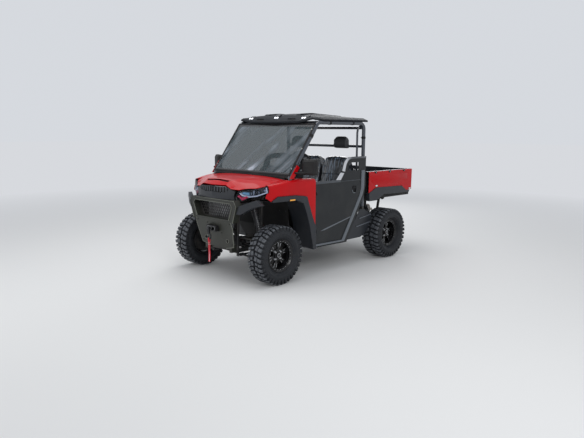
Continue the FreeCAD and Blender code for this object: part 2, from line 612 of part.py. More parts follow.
fender_side = drawn(((566, 1230), (1286, 1230), (1286.5, 1062), (1306, 1056), (1322, 1005), (1262, 962),
                     (1252, 974), (1187, 1019), (921, 1017), (794, 1000), (731, 990), (640, 760), (576, 617),
                     (566, 617)))
fender = Part.makeLoft([fender_section(x, FENDER_HALF + y, z) for x, y, z in drawn(fender_rows)], True, True)
fender = fender.common(prism_y(fender_side, 600, 900))
fender = fender.cut(block(A_FOOT_X - 60, A_FOOT_X + 40, 620, CAGE_Y + CAGE_R + 3, 1100, 1300))
parts["fenders"] = both(fender)
cover = prism_y(drawn(((990, 1206), (872, 1362), (826, 1336), (925, 1206))), CAGE_Y + CAGE_R + SEAT_GAP,
                CAGE_Y + CAGE_R + 10)
parts["pillar_covers"] = both(cover)


def side_band(near, far):
    """A band that follows the side of the fender, between two distances off its face."""
    rows = [(x, FENDER_HALF + y) for x, y, z in drawn(fender_rows)]
    return prism_z([(x, y + far) for x, y in rows] + [(x, y + near) for x, y in reversed(rows)], 300, 1200)


# Arch flares with the liner over the tyre
flare_side = drawn(((1256, 958), (1250, 972), (1187, 1017), (921, 1015), (794, 998), (731, 988), (640, 758),
                    (576, 615), (566, 615), (566, 330), (612, 330), (684, 642), (733, 779), (793, 915), (921, 963),
                    (1100, 961)))
LINER_Y = TRACK_FRONT / 2 - TYRE_W_FRONT - 1
flare = prism_y(flare_side, 600, 900).common(side_band(SEAT_GAP, 16))
arch = ((1256, 958), (1100, 961), (921, 963), (791, 917), (730, 780), (681, 643), (609, 330), (613, 330),
        (685, 642), (734, 778), (794, 913), (921, 958), (1100, 956), (1256, 953))
liner = prism_y(drawn(arch), LINER_Y, 900).common(side_band(LINER_Y - FENDER_HALF, 14))
parts["front_flares"] = both(union(flare, liner))

# Fascia with its row of slots, and the wings below the lamps
fascia_plan = drawn(((1556, 0), (1530, 250), (1492, 370), (1480, 366), (1518, 246), (1544, 0)))
fascia_plan += [(x, -y) for x, y in reversed(fascia_plan[1:-1])]
fascia_half = ((0, 1116), (250, 1108), (352, 1068), (336, 1008), (362, 912), (330, 912),
               (272, RING_TOP + SEAT_GAP), (0, RING_TOP + SEAT_GAP))
fascia_face = list(fascia_half) + [(-y, z) for y, z in reversed(fascia_half) if y > 0]
NOSE_X = station(1600.0)
fascia = prism_x(fascia_face, NOSE_X - 200, NOSE_X).common(prism_z(fascia_plan, 880, 1150))
SLOT_W, SLOT_PITCH, SLOTS = 20.0, 33.0, 10
for k in range(SLOTS):
    y = (k - (SLOTS - 1) / 2) * SLOT_PITCH
    drop = abs(y) * 0.06
    fascia = fascia.cut(block(NOSE_X - 100, NOSE_X, y - SLOT_W / 2, y + SLOT_W / 2, 1050 - drop, 1096 - drop))
parts["fascia"] = fascia
wing_front = spread_front(((441, 906), (640, 985), (700, 925), (610, 898), (467, 812), (409, 812)))
wing_plan = spread_plan(((1540, 400), (1500, 540), (1400, 705), (1350, 705), (1430, 545), (1475, 395)))
parts["bumper_wings"] = both(prism_x(wing_front, NOSE_X - 300, NOSE_X).common(prism_z(wing_plan, 780, 1020)))

# Headlights
lamp_front = spread_front(((352, 1014), (378, 1066), (545, 1098), (688, 1140), (698, 1066), (585, 1014),
                           (505, 1002), (441, 960)))
lamp_plan = spread_plan(((1482, 352), (1462, 440), (1400, 548), (1287, 697), (1287, 640), (1330, 545), (1390, 440),
                         (1405, 352)))
parts["headlights"] = both(prism_x(lamp_front, NOSE_X - 400, NOSE_X).common(prism_z(lamp_plan, 900, 1200)))

# Steel bumper: an upper ring round the mesh, and the winch plate below it
ring_out = ((0, RING_TOP), (400, RING_TOP), (440, 905), (372, 705), (0, 705))
ring_in = ((0, 926), (332, 926), (360, 890), (300, 735), (0, 735))
ring_face = list(ring_out) + [(-y, z) for y, z in reversed(ring_out) if y > 0]
ring_hole = list(ring_in) + [(-y, z) for y, z in reversed(ring_in) if y > 0]
RING_BACK = station(1470.0)
ring_side = prism_y(drawn(((1470, RING_TOP), (1558, RING_TOP), (1548, 705), (1470, 705))), -450, 450)
ring = prism_x(ring_face, RING_BACK - 10, NOSE_X).common(ring_side)
ring = ring.cut(prism_x(ring_hole, RING_BACK - 20, NOSE_X))
pocket = prism_z(drawn(((1450, 262), (1531, 262), (1493, 372), (1450, 372))), 904, 980)
ring = ring.cut(pocket).cut(mirrored(pocket))
PLATE_TOP, PLATE_FOOT, PLATE_LEAN = 712.0, 372.0, 80.0
PLATE_BACK, PLATE_THICK = station(1540.0), 10.0


def plate_back(z):
    """Where the back face of the winch plate is at a height."""
    return PLATE_BACK - (PLATE_TOP - z) * PLATE_LEAN / (PLATE_TOP - PLATE_FOOT)


lower_face = ((0, PLATE_TOP), (330, PLATE_TOP), (345, 640), (300, 404), (150, PLATE_FOOT), (0, PLATE_FOOT))
lower_all = list(lower_face) + [(-y, z) for y, z in reversed(lower_face) if y > 0]
corners = ((PLATE_TOP, 0), (PLATE_TOP, PLATE_THICK), (PLATE_FOOT, PLATE_THICK), (PLATE_FOOT, 0))
lower_side = prism_y([(plate_back(z) + thick, z) for z, thick in corners], -400, 400)
lower = prism_x(lower_all, NOSE_X - 200, NOSE_X).common(lower_side)
# holes for the rope and two shackles
for y, z, radius in ((0, 612, 34), (-205, 470, 20), (205, 470, 20)):
    lower = lower.cut(rod((NOSE_X - 200, y, z), (NOSE_X, y, z), radius))
foot = block(RAIL_END + SEAT_GAP, plate_back(400) + 5, RAIL_Y - 20, RAIL_Y + 20, RAIL_Z - 15, 420)
brace = block(near + TUBE_R + SEAT_GAP, RING_BACK + 5, PIVOT_Y + 4, PIVOT_Y + 16, 703, 723)
parts["bumper"] = union(ring, lower, foot, mirrored(foot), brace, mirrored(brace))

# Grille mesh in the bumper
MESH_X = RING_BACK - SEAT_GAP
mesh_face = [(y * 1.04, 830 + (z - 830) * 1.08) for y, z in ring_hole]
mesh = prism_x(mesh_face, MESH_X - 5, MESH_X)
HEX_R, HEX_PITCH = 19.0, 40.0
holes = []
for row in range(-3, 4):
    for col in range(-9, 10):
        y = (col + (row % 2) / 2) * HEX_PITCH
        z = 830 + row * HEX_PITCH * 0.866
        if abs(y) < 318 - (890 - z) * 0.3 and 752 < z < 908:
            corners = [(y + HEX_R * math.sin(math.pi * k / 3), z + HEX_R * math.cos(math.pi * k / 3))
                       for k in range(6)]
            holes.append(prism_x(corners, MESH_X - 10, MESH_X + 10))
parts["grille_mesh"] = mesh.cut(Part.makeCompound(holes))
parts["radiator"] = block(near + TUBE_R + SEAT_GAP, MESH_X - 33, -225, 225, 690, 920)

# Winch behind the plate, with its fairlead, hook and pull strap
WINCH_Z = 612.0
WINCH_X = plate_back(WINCH_Z) - 55
ears = [prism_y([(WINCH_X - 52, 570), (plate_back(570) - SEAT_GAP, 570), (plate_back(655) - SEAT_GAP, 655),
                 (WINCH_X - 52, 655)], s * 118, s * 150) for s in (-1, 1)]
parts["winch"] = union(rod((WINCH_X, -130, WINCH_Z), (WINCH_X, 130, WINCH_Z), 40), *ears)
face = PLATE_THICK + SEAT_GAP
FAIR_X, FAIR_HALF = station(1580.0), 50.0
fair = prism_y([(plate_back(578) + face, 578), (plate_back(646) + face, 646), (FAIR_X - 8, 646), (FAIR_X, 634),
                (FAIR_X, 590), (FAIR_X - 8, 578)], -FAIR_HALF - 40, FAIR_HALF + 40)
throat = union(block(FAIR_X - 80, FAIR_X + 1, 14, FAIR_HALF, WINCH_Z - 16, WINCH_Z + 16),
               *[rod((FAIR_X - 80, y, WINCH_Z), (FAIR_X + 1, y, WINCH_Z), 16) for y in (14, FAIR_HALF)])
parts["fairlead"] = fair.cut(throat)
HOOK_X = LENGTH / 2 - 9
shank = block(HOOK_X - 9, HOOK_X + 9, -16, 16, 545, WINCH_Z + 20)
bow = Part.makeTorus(30, 9, V(HOOK_X, 6, 520), V(1, 0, 0))
bow = bow.cut(block(HOOK_X - 12, HOOK_X + 12, -50, -4, 520, 548))
pin = rod((FAIR_X + SEAT_GAP, 0, WINCH_Z), (HOOK_X, 0, WINCH_Z), 6)
parts["winch_hook"] = union(shank, bow, pin)
STRAP_TOP, STRAP_FOOT = 520 - 30 - 9 - SEAT_GAP, 208.0
parts["winch_strap"] = block(HOOK_X - 6, HOOK_X + 6, -12, 24, STRAP_FOOT, STRAP_TOP)

# Mirrors on stalks from the pillar covers
head_half = ((-95, -70), (-80, -92), (80, -95), (95, -78), (95, 78), (80, 95), (-80, 92), (-95, 70))
head = Part.makeLoft([Part.makePolygon([V(x, y * k, z * k) for y, z in head_half + head_half[:1]])
                      for x, k in ((-28, 1.0), (8, 0.97), (28, 0.72))], True, True)
head.rotate(V(0, 0, 0), V(0, 0, 1), 22)
head.translate(V(station(787.0), CAGE_Y + 154, 1339))
STALK_Z = 1272.0
stalk = pipe(drawn(((905, CAGE_Y + CAGE_R + 10 + SEAT_GAP, STALK_Z), (905, CAGE_Y + 95, STALK_Z),
                    (795, CAGE_Y + 142, STALK_Z + 13))), 12, 30)
parts["mirrors"] = both(union(head, stalk))

# Cab floor, firewall and rear wall in one moulding
TOE_X = station(640.0)
tub = prism_y(((CAB_REAR_X, FLOOR_Z), (TOE_X, FLOOR_Z), (FIREWALL_X, 560), (FIREWALL_X, 1150),
               (FIREWALL_X - SKIN, 1150),
               (FIREWALL_X - SKIN, 561), (TOE_X - 2, FLOOR_Z + SKIN), (CAB_REAR_X + SKIN, FLOOR_Z + SKIN),
               (CAB_REAR_X + SKIN, 1000), (CAB_REAR_X, 1000)), -CAB_HALF, CAB_HALF)
well = prism_y(drawn(((607.7, 325), (679.7, 642), (728.7, 780), (788.7, 916), (788.7, 1000), (900, 1000),
                      (900, 325))),
               LINER_Y - SEAT_GAP, CAB_HALF + 1)
parts["cab_floor"] = tub.cut(well).cut(mirrored(well))

# Dashboard, steering column and wheel
DASH_HALF = CAB_HALF - 32
DASH_BACK = FIREWALL_X - SKIN - SEAT_GAP
COWL_TOP = 1150 + SEAT_GAP
dash_face = drawn(((590, 960), (545, 1060), (560, 1130), (590, 1170), (720, 1206), (925, 1203), (925, 1185)))
dash = prism_y([(DASH_BACK, 960)] + dash_face + [(DASH_BACK, COWL_TOP)], -DASH_HALF, DASH_HALF)
dash = dash.cut(block(DASH_BACK, FIREWALL_X + 1, -DASH_HALF - 1, DASH_HALF + 1, 900, COWL_TOP))
# binnacle in front of the driver, glove box and shelf in front of the passengers
binnacle = prism_y(drawn(((560, 1150), (575, 1262), (600, 1268), (690, 1190), (690, 1150))),
                   WHEEL_POINT[1] - 150, WHEEL_POINT[1] + 150)
shelf = prism_y(drawn(((585, 1190), (575, 1215), (640, 1215), (680, 1196))), 70 - DASH_HALF, -60)
lid = prism_y(drawn(((530, 985), (530, 1100), (562, 1100), (589, 985))), 110 - DASH_HALF, -100)
door_face = prism_y(drawn(((572, 960), (527, 1060), (542, 1130), (620, 1130), (620, 960))), 120 - DASH_HALF, -110)
dash = union(dash, binnacle).cut(shelf).cut(lid.cut(door_face))
fall = math.radians(COLUMN_SLOPE)
ahead = V(math.cos(fall), 0, -math.sin(fall))
hub_at = V(*WHEEL_POINT)
column = Part.makeCylinder(24, 330, hub_at + ahead * (22 + SEAT_GAP), ahead)
parts["dashboard"] = dash.cut(Part.makeCylinder(24 + SEAT_GAP, 360, hub_at + ahead * 22, ahead))
parts["steering_column"] = column
grip = Part.makeTorus(STEER_WHEEL_R - 14, 14, hub_at, ahead)
hub = Part.makeCylinder(45, 32, hub_at - ahead * 10, ahead)
spokes = []
across_dir = V(0, 1, 0)
up_dir = ahead.cross(across_dir)
for turn in (0, 180, 270):
    a = math.radians(turn)
    way = across_dir * math.cos(a) + up_dir * math.sin(a)
    spokes.append(Part.makeCylinder(9, STEER_WHEEL_R - 20, hub_at, way))
parts["steering_wheel"] = union(grip, hub, *spokes)

# Rack with its tie rods
parts["steering_rack"] = union(rod((RACK_X, -KINGPIN_Y + 20, RACK_Z), (RACK_X, KINGPIN_Y - 20, RACK_Z), RACK_R),
                               rod((RACK_X, -140, RACK_Z), (RACK_X, 140, RACK_Z), 16))

# Bench: plinth, cushions, backs and headrests, the driver's place apart from the double one
SEAT_TOP, BACK_TOP = 820.0, 1440.0
SEAT_REAR_X = station(-335.0)
parts["seat_base"] = block(CAB_REAR_X + SKIN + SEAT_GAP, station(225.0), -CAB_HALF + 22, CAB_HALF - 22,
                           FLOOR_Z + SKIN + SEAT_GAP, 700)
SEAT_SPLITS = ((170.0, CAB_HALF - 40), (-CAB_HALF + 40, 158.0))
PLINTH_TOP = 700 + SEAT_GAP
seat_side = drawn(((-215, PLINTH_TOP), (225, PLINTH_TOP), (248, 730), (252, 775), (235, 808), (200, SEAT_TOP),
                   (0, 800), (-215, 790)))
back_side = drawn(((-335, PLINTH_TOP), (-222, PLINTH_TOP), (-110, 780), (-100, 850), (-150, 1100), (-195, 1330),
                   (-215, 1410), (-245, BACK_TOP), (-290, BACK_TOP), (-318, 1400), (-335, 1300)))
cushions, backs = [], []
for y0, y1 in SEAT_SPLITS:
    front = ((y0, 700), (y1, 700), (y1, 785), (y1 - 22, SEAT_TOP + 1), (y0 + 22, SEAT_TOP + 1), (y0, 785))
    back = ((y0, 700), (y1, 700), (y1, 1300), (y1 - 40, 1410), (y1 - 90, BACK_TOP + 1), (y0 + 90, BACK_TOP + 1),
            (y0 + 40, 1410), (y0, 1300))
    cushions.append(prism_y(seat_side, y0, y1).common(prism_x(front, SEAT_REAR_X - 50, SEAT_REAR_X + 600)))
    backs.append(prism_y(back_side, y0, y1).common(prism_x(back, SEAT_REAR_X - 50, SEAT_REAR_X + 600)))
back_seats = [shape.copy() for shape in backs]
for shape in back_seats:
    shape.translate(V(SEAT_GAP, 0, 0))
parts["seat_cushions"] = Part.makeCompound([c.cut(Part.makeCompound(back_seats + backs)) for c in cushions])
parts["seat_backs"] = Part.makeCompound(backs)
REST_X, REST_HALF = station(-290.0), 110.0
rest_side = ((-90, -28), (-60, -30), (-10, -20), (0, 20), (-4, 90), (-24, 130), (-60, 135), (-84, 110))
rest_side = [(REST_X + x, HEADREST_Z + z) for x, z in rest_side]
rest_front = ((-90, -30), (90, -30), (REST_HALF, 10), (REST_HALF, 85), (75, 136), (-75, 136), (-REST_HALF, 85),
              (-REST_HALF, 10))
rests = []
for y in (WHEEL_POINT[1], 10.0, -WHEEL_POINT[1]):
    pad = prism_y(rest_side, y - REST_HALF, y + REST_HALF)
    pad = pad.common(prism_x([(y + v, HEADREST_Z + z) for v, z in rest_front], REST_X - 120, REST_X + 20))
    pad = pad.cut(rod((B_PILLAR_X, -BODY_HALF, HEADREST_Z), (B_PILLAR_X, BODY_HALF, HEADREST_Z), 30))
    bracket = block(B_PILLAR_X + 18 + SEAT_GAP, REST_X - 70, y - 30, y + 30, HEADREST_Z - 8, HEADREST_Z + 8)
    rests.append(union(pad, bracket))
parts["headrests"] = Part.makeCompound(rests)

# Rear side panels between the doors and the rear wheels, each with two raised creases
PANEL_TOP = OUTRIGGER_Z - TUBE_R - SEAT_GAP
PANEL_Y = BODY_HALF - 57
panel = prism_y(drawn(((-400, PANEL_TOP), (-480, PANEL_TOP), (-675, 624), (-649, 531), (-541, 390), (-431, 335),
                       (-120, 335))), PANEL_Y - PLATE, PANEL_Y)
creases = [prism_y(drawn(points), PANEL_Y - 1, PANEL_Y + 6)
           for points in (((-389, 608), (-389, 594), (-650, 629), (-655, 643)),
                          ((-323, 502), (-323, 488), (-628, 525), (-622, 539)))]
parts["rear_side_panels"] = both(union(panel, *creases))

# Doors: a skin with a raised rim, an inset window in the shoulder, a handle cup and a crease
door_points = drawn(((558, 332), (-70, 322), (-120, 400), (-414, 919), (-448, 1060), (-448, 1424), (-216, 1424),
                     (-178, 1352), (-117, 1285), (-40, 1215), (22, 1162), (60, 1121), (558, 1186)))
outline = face_of([(x, 0, z) for x, z in door_points])
DOOR_BACK, DOOR_SKIN = CAGE_Y + CAGE_R + 5, BODY_HALF - DOOR_RIM_H


def door_plate(face, y0, y1):
    moved = face.copy()
    moved.translate(V(0, y0, 0))
    return moved.extrude(V(0, y1 - y0, 0))


skin = door_plate(outline, DOOR_BACK, DOOR_SKIN)
rim_band = door_plate(outline, DOOR_BACK, BODY_HALF).cut(
    door_plate(outline.makeOffset2D(-DOOR_RIM, 2), DOOR_BACK - 5, BODY_HALF + 5))
rim_band = rim_band.cut(block(station(30.0), DOOR_FRONT_X + 5, DOOR_BACK - 5, BODY_HALF + 5, 370, 1300))
shoulder = drawn(((-400, 1378), (-236, 1378), (-196, 1312), (-120, 1232), (-90, 1212), (-400, 1212)))
bow = prism_y(drawn(((-448, 1424), (-216, 1424), (-178, 1352), (-117, 1285), (-40, 1215), (22, 1162), (-60, 1162),
                     (-120, 1232), (-196, 1312), (-236, 1378), (-448, 1378))), DOOR_BACK, BODY_HALF)
bow_band = door_plate(outline, DOOR_BACK, BODY_HALF).common(bow)
belt = prism_y(drawn(((-448, 1212), (-90, 1212), (-76, 1196), (-448, 1196))), DOOR_BACK, BODY_HALF - 3)
crease = prism_y(drawn(((-190, 640), (-176, 618), (401, 524), (408, 532))), DOOR_BACK, BODY_HALF - 2)
skin = union(skin, rim_band, bow_band, belt, crease).cut(prism_y(shoulder, DOOR_BACK - 5, BODY_HALF + 5))
cup = prism_y(drawn(((-322, 1040), (-232, 1050), (-222, 1000), (-300, 990))), DOOR_SKIN - 8, BODY_HALF + 5)
handle = prism_y(drawn(((-318, 1034), (-240, 1043), (-238, 1028), (-316, 1019))), DOOR_SKIN - 9, DOOR_SKIN)
skin = union(skin.cut(cup), handle)
inner = prism_y(drawn(((500, 400), (-60, 400), (-330, 890), (-330, 1060), (500, 1090))), CAGE_Y - 2,
                DOOR_BACK + 1)
rest = prism_y(drawn(((330, 960), (-250, 960), (-250, 990), (300, 990))), CAGE_Y - 30, CAGE_Y)
bin_cut = prism_y(drawn(((430, 440), (20, 440), (-60, 580), (430, 580))), CAGE_Y - 10, CAGE_Y + 18)
door = union(skin, inner, rest).cut(bin_cut)
for z in HINGE_HEIGHTS:
    room = 13 + MOVE_GAP
    door = door.cut(block(HINGE_X - 22, DOOR_FRONT_X + 5, POST_Y - 90, BODY_HALF + 50, z - room, z + room))
    door = union(door, rod((HINGE_X, HINGE_Y, z - 25), (HINGE_X, HINGE_Y, z + 25), HINGE_R))
parts["door_left"] = door
parts["door_right"] = mirrored(door)

# Bed: tub with rails below, red side panels, flares, lamps and tailgate
TUB_X = BED_FRONT_X - 10
UNDER = BED_FLOOR_Z - BED_WALL
floor = block(BED_REAR_X, TUB_X, -BED_HALF, BED_HALF, UNDER, BED_FLOOR_Z)
FIELD_TOP = BED_FLOOR_Z + FLOOR_FIELD
field = block(BED_REAR_X + 20, TUB_X - 24, -BED_HALF + 24, BED_HALF - 24, BED_FLOOR_Z, FIELD_TOP)
GROOVES, GROOVE_W = 8, 40.0
groove_pitch = 2 * (BED_HALF - 24) / GROOVES
for k in range(GROOVES):
    y = (k - (GROOVES - 1) / 2) * groove_pitch
    field = field.cut(block(BED_REAR_X + 60, TUB_X - 64, y - GROOVE_W / 2, y + GROOVE_W / 2, BED_FLOOR_Z - 1,
                            FIELD_TOP + 1))
front_wall = block(TUB_X - BED_WALL, TUB_X, -BED_HALF, BED_HALF, UNDER, BED_TOP_Z)
side_wall = block(BED_REAR_X, TUB_X, BED_HALF - BED_WALL, BED_HALF, UNDER, BED_TOP_Z)
ribs = []
WALL_RIBS = 6
for k in range(WALL_RIBS):
    x = BED_REAR_X + (TUB_X - BED_REAR_X) * (k + 1) / (WALL_RIBS + 1)
    ribs.append(block(x - 25, x + 25, BED_HALF - BED_WALL - 6, BED_HALF - 1, BED_FLOOR_Z + 60, BED_TOP_Z - 40))
for k in range(WALL_RIBS // 2):
    y = BED_HALF * (2 * k + 1) / WALL_RIBS
    ribs.append(block(TUB_X - BED_WALL - 6, TUB_X - 1, y - 50, y + 50, BED_FLOOR_Z + 60, BED_TOP_Z - 40))
top_rail = block(BED_REAR_X, TUB_X, BED_HALF - BED_WALL, BODY_HALF - 8, BED_TOP_Z - BED_WALL, BED_TOP_Z)
front_rail = block(TUB_X - 24, TUB_X, -BED_HALF, BED_HALF, BED_TOP_Z - BED_WALL, BED_TOP_Z)
post = block(BED_REAR_X, BED_REAR_X + BED_WALL, GATE_HALF + MOVE_GAP, BED_HALF, UNDER, BED_TOP_Z)
under = block(BED_PIVOT_X - 30, BED_FRONT_X - 60, BED_RAIL_Y - 25, BED_RAIL_Y + 25,
              BED_PIVOT_Z + TUBE_R + 1, UNDER + 1)
lug = union(block(BED_PIVOT_X - 30, BED_PIVOT_X + 30, BED_RAIL_Y + 40, BED_RAIL_Y + 50, BED_PIVOT_Z, UNDER + 1),
            rod((BED_PIVOT_X, BED_RAIL_Y + 40, BED_PIVOT_Z), (BED_PIVOT_X, BED_RAIL_Y + 50, BED_PIVOT_Z), 30))
lug = lug.cut(rod((BED_PIVOT_X, 0, BED_PIVOT_Z), (BED_PIVOT_X, BODY_HALF, BED_PIVOT_Z), TUBE_R + FIT))
GATE_EAR = GATE_HALF - 63
gate_lug = union(block(GATE_X, BED_REAR_X + 2, GATE_EAR, GATE_EAR + 10, GATE_Z - 12, BED_FLOOR_Z),
                 rod((GATE_X, GATE_EAR, GATE_Z), (GATE_X, GATE_EAR + 10, GATE_Z), 14))
gate_lug = gate_lug.cut(rod((GATE_X, GATE_EAR - 50, GATE_Z), (GATE_X, GATE_EAR + 60, GATE_Z), GATE_PIN_R + FIT))
tub_half = [floor, field, front_wall, side_wall, top_rail, front_rail, post, under, lug, gate_lug]
parts["bed_tub"] = across(union(*tub_half, *ribs))

SIDE_TOP = BED_TOP_Z + 4
red_side = [(BED_FRONT_X, SIDE_TOP), (BED_FRONT_X, 932)]
red_side += drawn(((-676, 1000), (-1298, 988), (-1421, 912), (-1556, 921))) + [(BED_REAR_X, SIDE_TOP)]
red = union(prism_y(red_side, BODY_HALF - SKIN, BODY_HALF),
            block(BED_REAR_X, BED_FRONT_X, BODY_HALF - 30, BODY_HALF - 1, BED_TOP_Z + SEAT_GAP, SIDE_TOP))
NOTCH_W, NOTCH_H = 60.0, 25.0
for x in (-666.0, -997.0, -1352.0):
    at = station(x)
    red = red.cut(block(at - NOTCH_W / 2, at + NOTCH_W / 2, BODY_HALF - 12, BODY_HALF + 1, SIDE_TOP - NOTCH_H,
                        SIDE_TOP + 1))
parts["bed_sides"] = both(red)
bed_flare = ((-676, 999), (-1298, 987), (-1421, 911), (-1500, 914), (-1480, 880), (-1388, 886), (-1142, 888),
             (-862, 898), (-700, 822))
flare = prism_y([(BED_FRONT_X, 931)] + drawn(bed_flare) + [(TUB_X, 822)], BED_HALF + SEAT_GAP, BODY_HALF + 10)
lip = drawn(((-676, 1010), (-1298, 998), (-1421, 922), (-1560, 930), (-1560, 900), (-1421, 911), (-1298, 987),
             (-676, 999)))
lip = [(BED_FRONT_X + 5, 940)] + lip + [(BED_FRONT_X + 5, 929)]
flare = flare.cut(prism_y(lip, BODY_HALF - SKIN - 1, BODY_HALF + 1))
parts["bed_flares"] = both(flare)
LAMP_IN = GATE_HALF + MOVE_GAP + 4
LAMP_OUT = BODY_HALF - 12
lens = prism_z(((BED_REAR_X - SEAT_GAP, LAMP_IN), (BED_REAR_X - SEAT_GAP, LAMP_OUT), (BED_REAR_X - 8, LAMP_OUT),
                (BED_REAR_X - 14, LAMP_OUT - 10), (BED_REAR_X - 14, LAMP_IN)), 1020, 1180)
parts["tail_lamps"] = both(lens)

gate = block(GATE_X - GATE_T / 2, GATE_X + GATE_T / 2, -GATE_HALF, GATE_HALF, GATE_Z + 16, BED_TOP_Z + 2)
# the outside is pressed in, in two fields beside the latch
for s in (-1, 1):
    gate = gate.cut(block(GATE_X - GATE_T, GATE_X - GATE_T / 2 + 6, s * 110, s * (GATE_HALF - 45), GATE_Z + 70,
                          BED_TOP_Z - 70))
gate = gate.cut(block(GATE_X - GATE_T, GATE_X - GATE_T / 2 + 14, -60, 60, BED_TOP_Z - 60, BED_TOP_Z - 20))
barrels = []
for s in (-1, 1):
    start, end = s * (GATE_EAR - 37), s * (GATE_EAR - 4)
    barrels.append(rod((GATE_X, start, GATE_Z), (GATE_X, end, GATE_Z), 12))
    barrels.append(block(GATE_X - 8, GATE_X + 8, start, end, GATE_Z, GATE_Z + 20))
    barrels.append(rod((GATE_X, start + s * 5, GATE_Z), (GATE_X, end + s * 18, GATE_Z), GATE_PIN_R))
parts["tailgate"] = union(gate, *barrels)

# One STEP file for each piece
os.makedirs("parts", exist_ok=True)
for name, shape in parts.items():
    shape.exportStep(f"parts/{name}.step")
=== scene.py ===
# Side by side utility vehicle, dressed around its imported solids. Meshes are drawn in
# millimetres, +X to the front, +Y to the driver's left, +Z up, and finished in metres.
import math
import bmesh
import bpy
from mathutils import Matrix, Vector, noise


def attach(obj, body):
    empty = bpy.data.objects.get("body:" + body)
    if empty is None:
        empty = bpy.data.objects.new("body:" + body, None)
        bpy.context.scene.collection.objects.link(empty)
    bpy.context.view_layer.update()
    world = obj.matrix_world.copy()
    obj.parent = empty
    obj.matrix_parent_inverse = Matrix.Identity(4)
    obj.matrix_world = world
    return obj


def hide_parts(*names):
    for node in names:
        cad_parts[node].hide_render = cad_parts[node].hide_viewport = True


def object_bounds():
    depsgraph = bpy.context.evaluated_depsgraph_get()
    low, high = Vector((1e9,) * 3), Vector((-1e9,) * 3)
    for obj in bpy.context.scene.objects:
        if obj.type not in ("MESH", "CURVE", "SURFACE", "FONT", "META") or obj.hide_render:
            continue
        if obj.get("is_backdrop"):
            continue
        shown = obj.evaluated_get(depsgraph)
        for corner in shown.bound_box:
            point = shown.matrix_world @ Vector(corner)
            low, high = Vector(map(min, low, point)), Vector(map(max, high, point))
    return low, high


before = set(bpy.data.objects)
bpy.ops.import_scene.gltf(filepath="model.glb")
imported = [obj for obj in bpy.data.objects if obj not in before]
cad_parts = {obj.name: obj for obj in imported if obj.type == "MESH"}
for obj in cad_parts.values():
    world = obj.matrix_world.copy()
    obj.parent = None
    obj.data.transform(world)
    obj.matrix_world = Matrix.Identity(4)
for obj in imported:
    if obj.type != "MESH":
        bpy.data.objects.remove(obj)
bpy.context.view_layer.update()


# The photograph's view: taken standing, ahead of the front left corner, about 7.7 metres
# away. The lens and the place come from the vehicle's own parallel lines and wheel sizes.
VIEW_FROM = (5.575, 5.262, 1.756)
VIEW_YAW = -135.6
VIEW_PITCH = -8.95
VIEW_ROLL = 0.34
FOCAL_PIXELS = 558.2
PHOTO_WIDTH = 584
SENSOR = 36.0
yaw, pitch = math.radians(VIEW_YAW), math.radians(VIEW_PITCH)
look = Vector((math.cos(yaw) * math.cos(pitch), math.sin(yaw) * math.cos(pitch), math.sin(pitch)))
lens = bpy.data.cameras.new("camera")
lens.sensor_width = SENSOR
lens.lens = SENSOR * FOCAL_PIXELS / PHOTO_WIDTH
camera = bpy.data.objects.new("camera", lens)
bpy.context.scene.collection.objects.link(camera)
camera.location = VIEW_FROM
roll = Matrix.Rotation(math.radians(VIEW_ROLL), 4, "Z")
camera.rotation_euler = (look.to_track_quat("-Z", "Y").to_matrix().to_4x4() @ roll).to_euler()
bpy.context.scene.camera = camera
bpy.context.scene.view_settings.view_transform = "Standard"


# A studio with one wide soft lamp overhead, one on the camera's side, and weaker ones in
# front and behind. The floor is pale and runs to the horizon, where the background is as pale.
def lamp(name, place, aim, size, watts):
    """A round area lamp, turned towards the place that it lights."""
    light = bpy.data.lights.new(name, "AREA")
    light.shape = "DISK"
    light.size = size
    light.energy = watts
    holder = bpy.data.objects.new(name, light)
    holder.location = place
    holder.rotation_euler = (Vector(aim) - Vector(place)).to_track_quat("-Z", "Y").to_euler()
    bpy.context.scene.collection.objects.link(holder)


lamp("lamp_top", (0.5, -0.5, 5.5), (0, 0, 0.6), 4.0, 105)
lamp("lamp_side", (3.5, 6.5, 3.6), (0, 0, 0.7), 2.6, 95)
lamp("lamp_front", (7.0, -1.5, 2.6), (0.6, 0, 0.8), 2.2, 45)
lamp("lamp_back", (-5.5, -3.5, 3.2), (0, 0, 0.9), 3.0, 55)


class Link:
    """A socket in a finish: sums, products and comparisons of it add Math nodes."""

    def __init__(self, paint, socket):
        self.paint = paint
        self.socket = socket

    def maths(self, operation, *terms):
        return self.paint.add("ShaderNodeMath", {"operation": operation}, dict(enumerate(terms)))

    def __add__(self, other):
        return self.maths("ADD", self, other)

    def __sub__(self, other):
        return self.maths("SUBTRACT", self, other)

    def __rsub__(self, other):
        return self.maths("SUBTRACT", other, self)

    def __mul__(self, other):
        return self.maths("MULTIPLY", self, other)

    def __pow__(self, other):
        return self.maths("POWER", self, other)

    def __gt__(self, other):
        return self.maths("GREATER_THAN", self, other)

    def __lt__(self, other):
        return self.maths("LESS_THAN", self, other)

    def either(self, other):
        return self.maths("MAXIMUM", self, other)

    def at_most(self, other):
        return self.maths("MINIMUM", self, other)

    def size(self):
        return self.maths("ABSOLUTE", self)

    __radd__ = __add__
    __rmul__ = __mul__


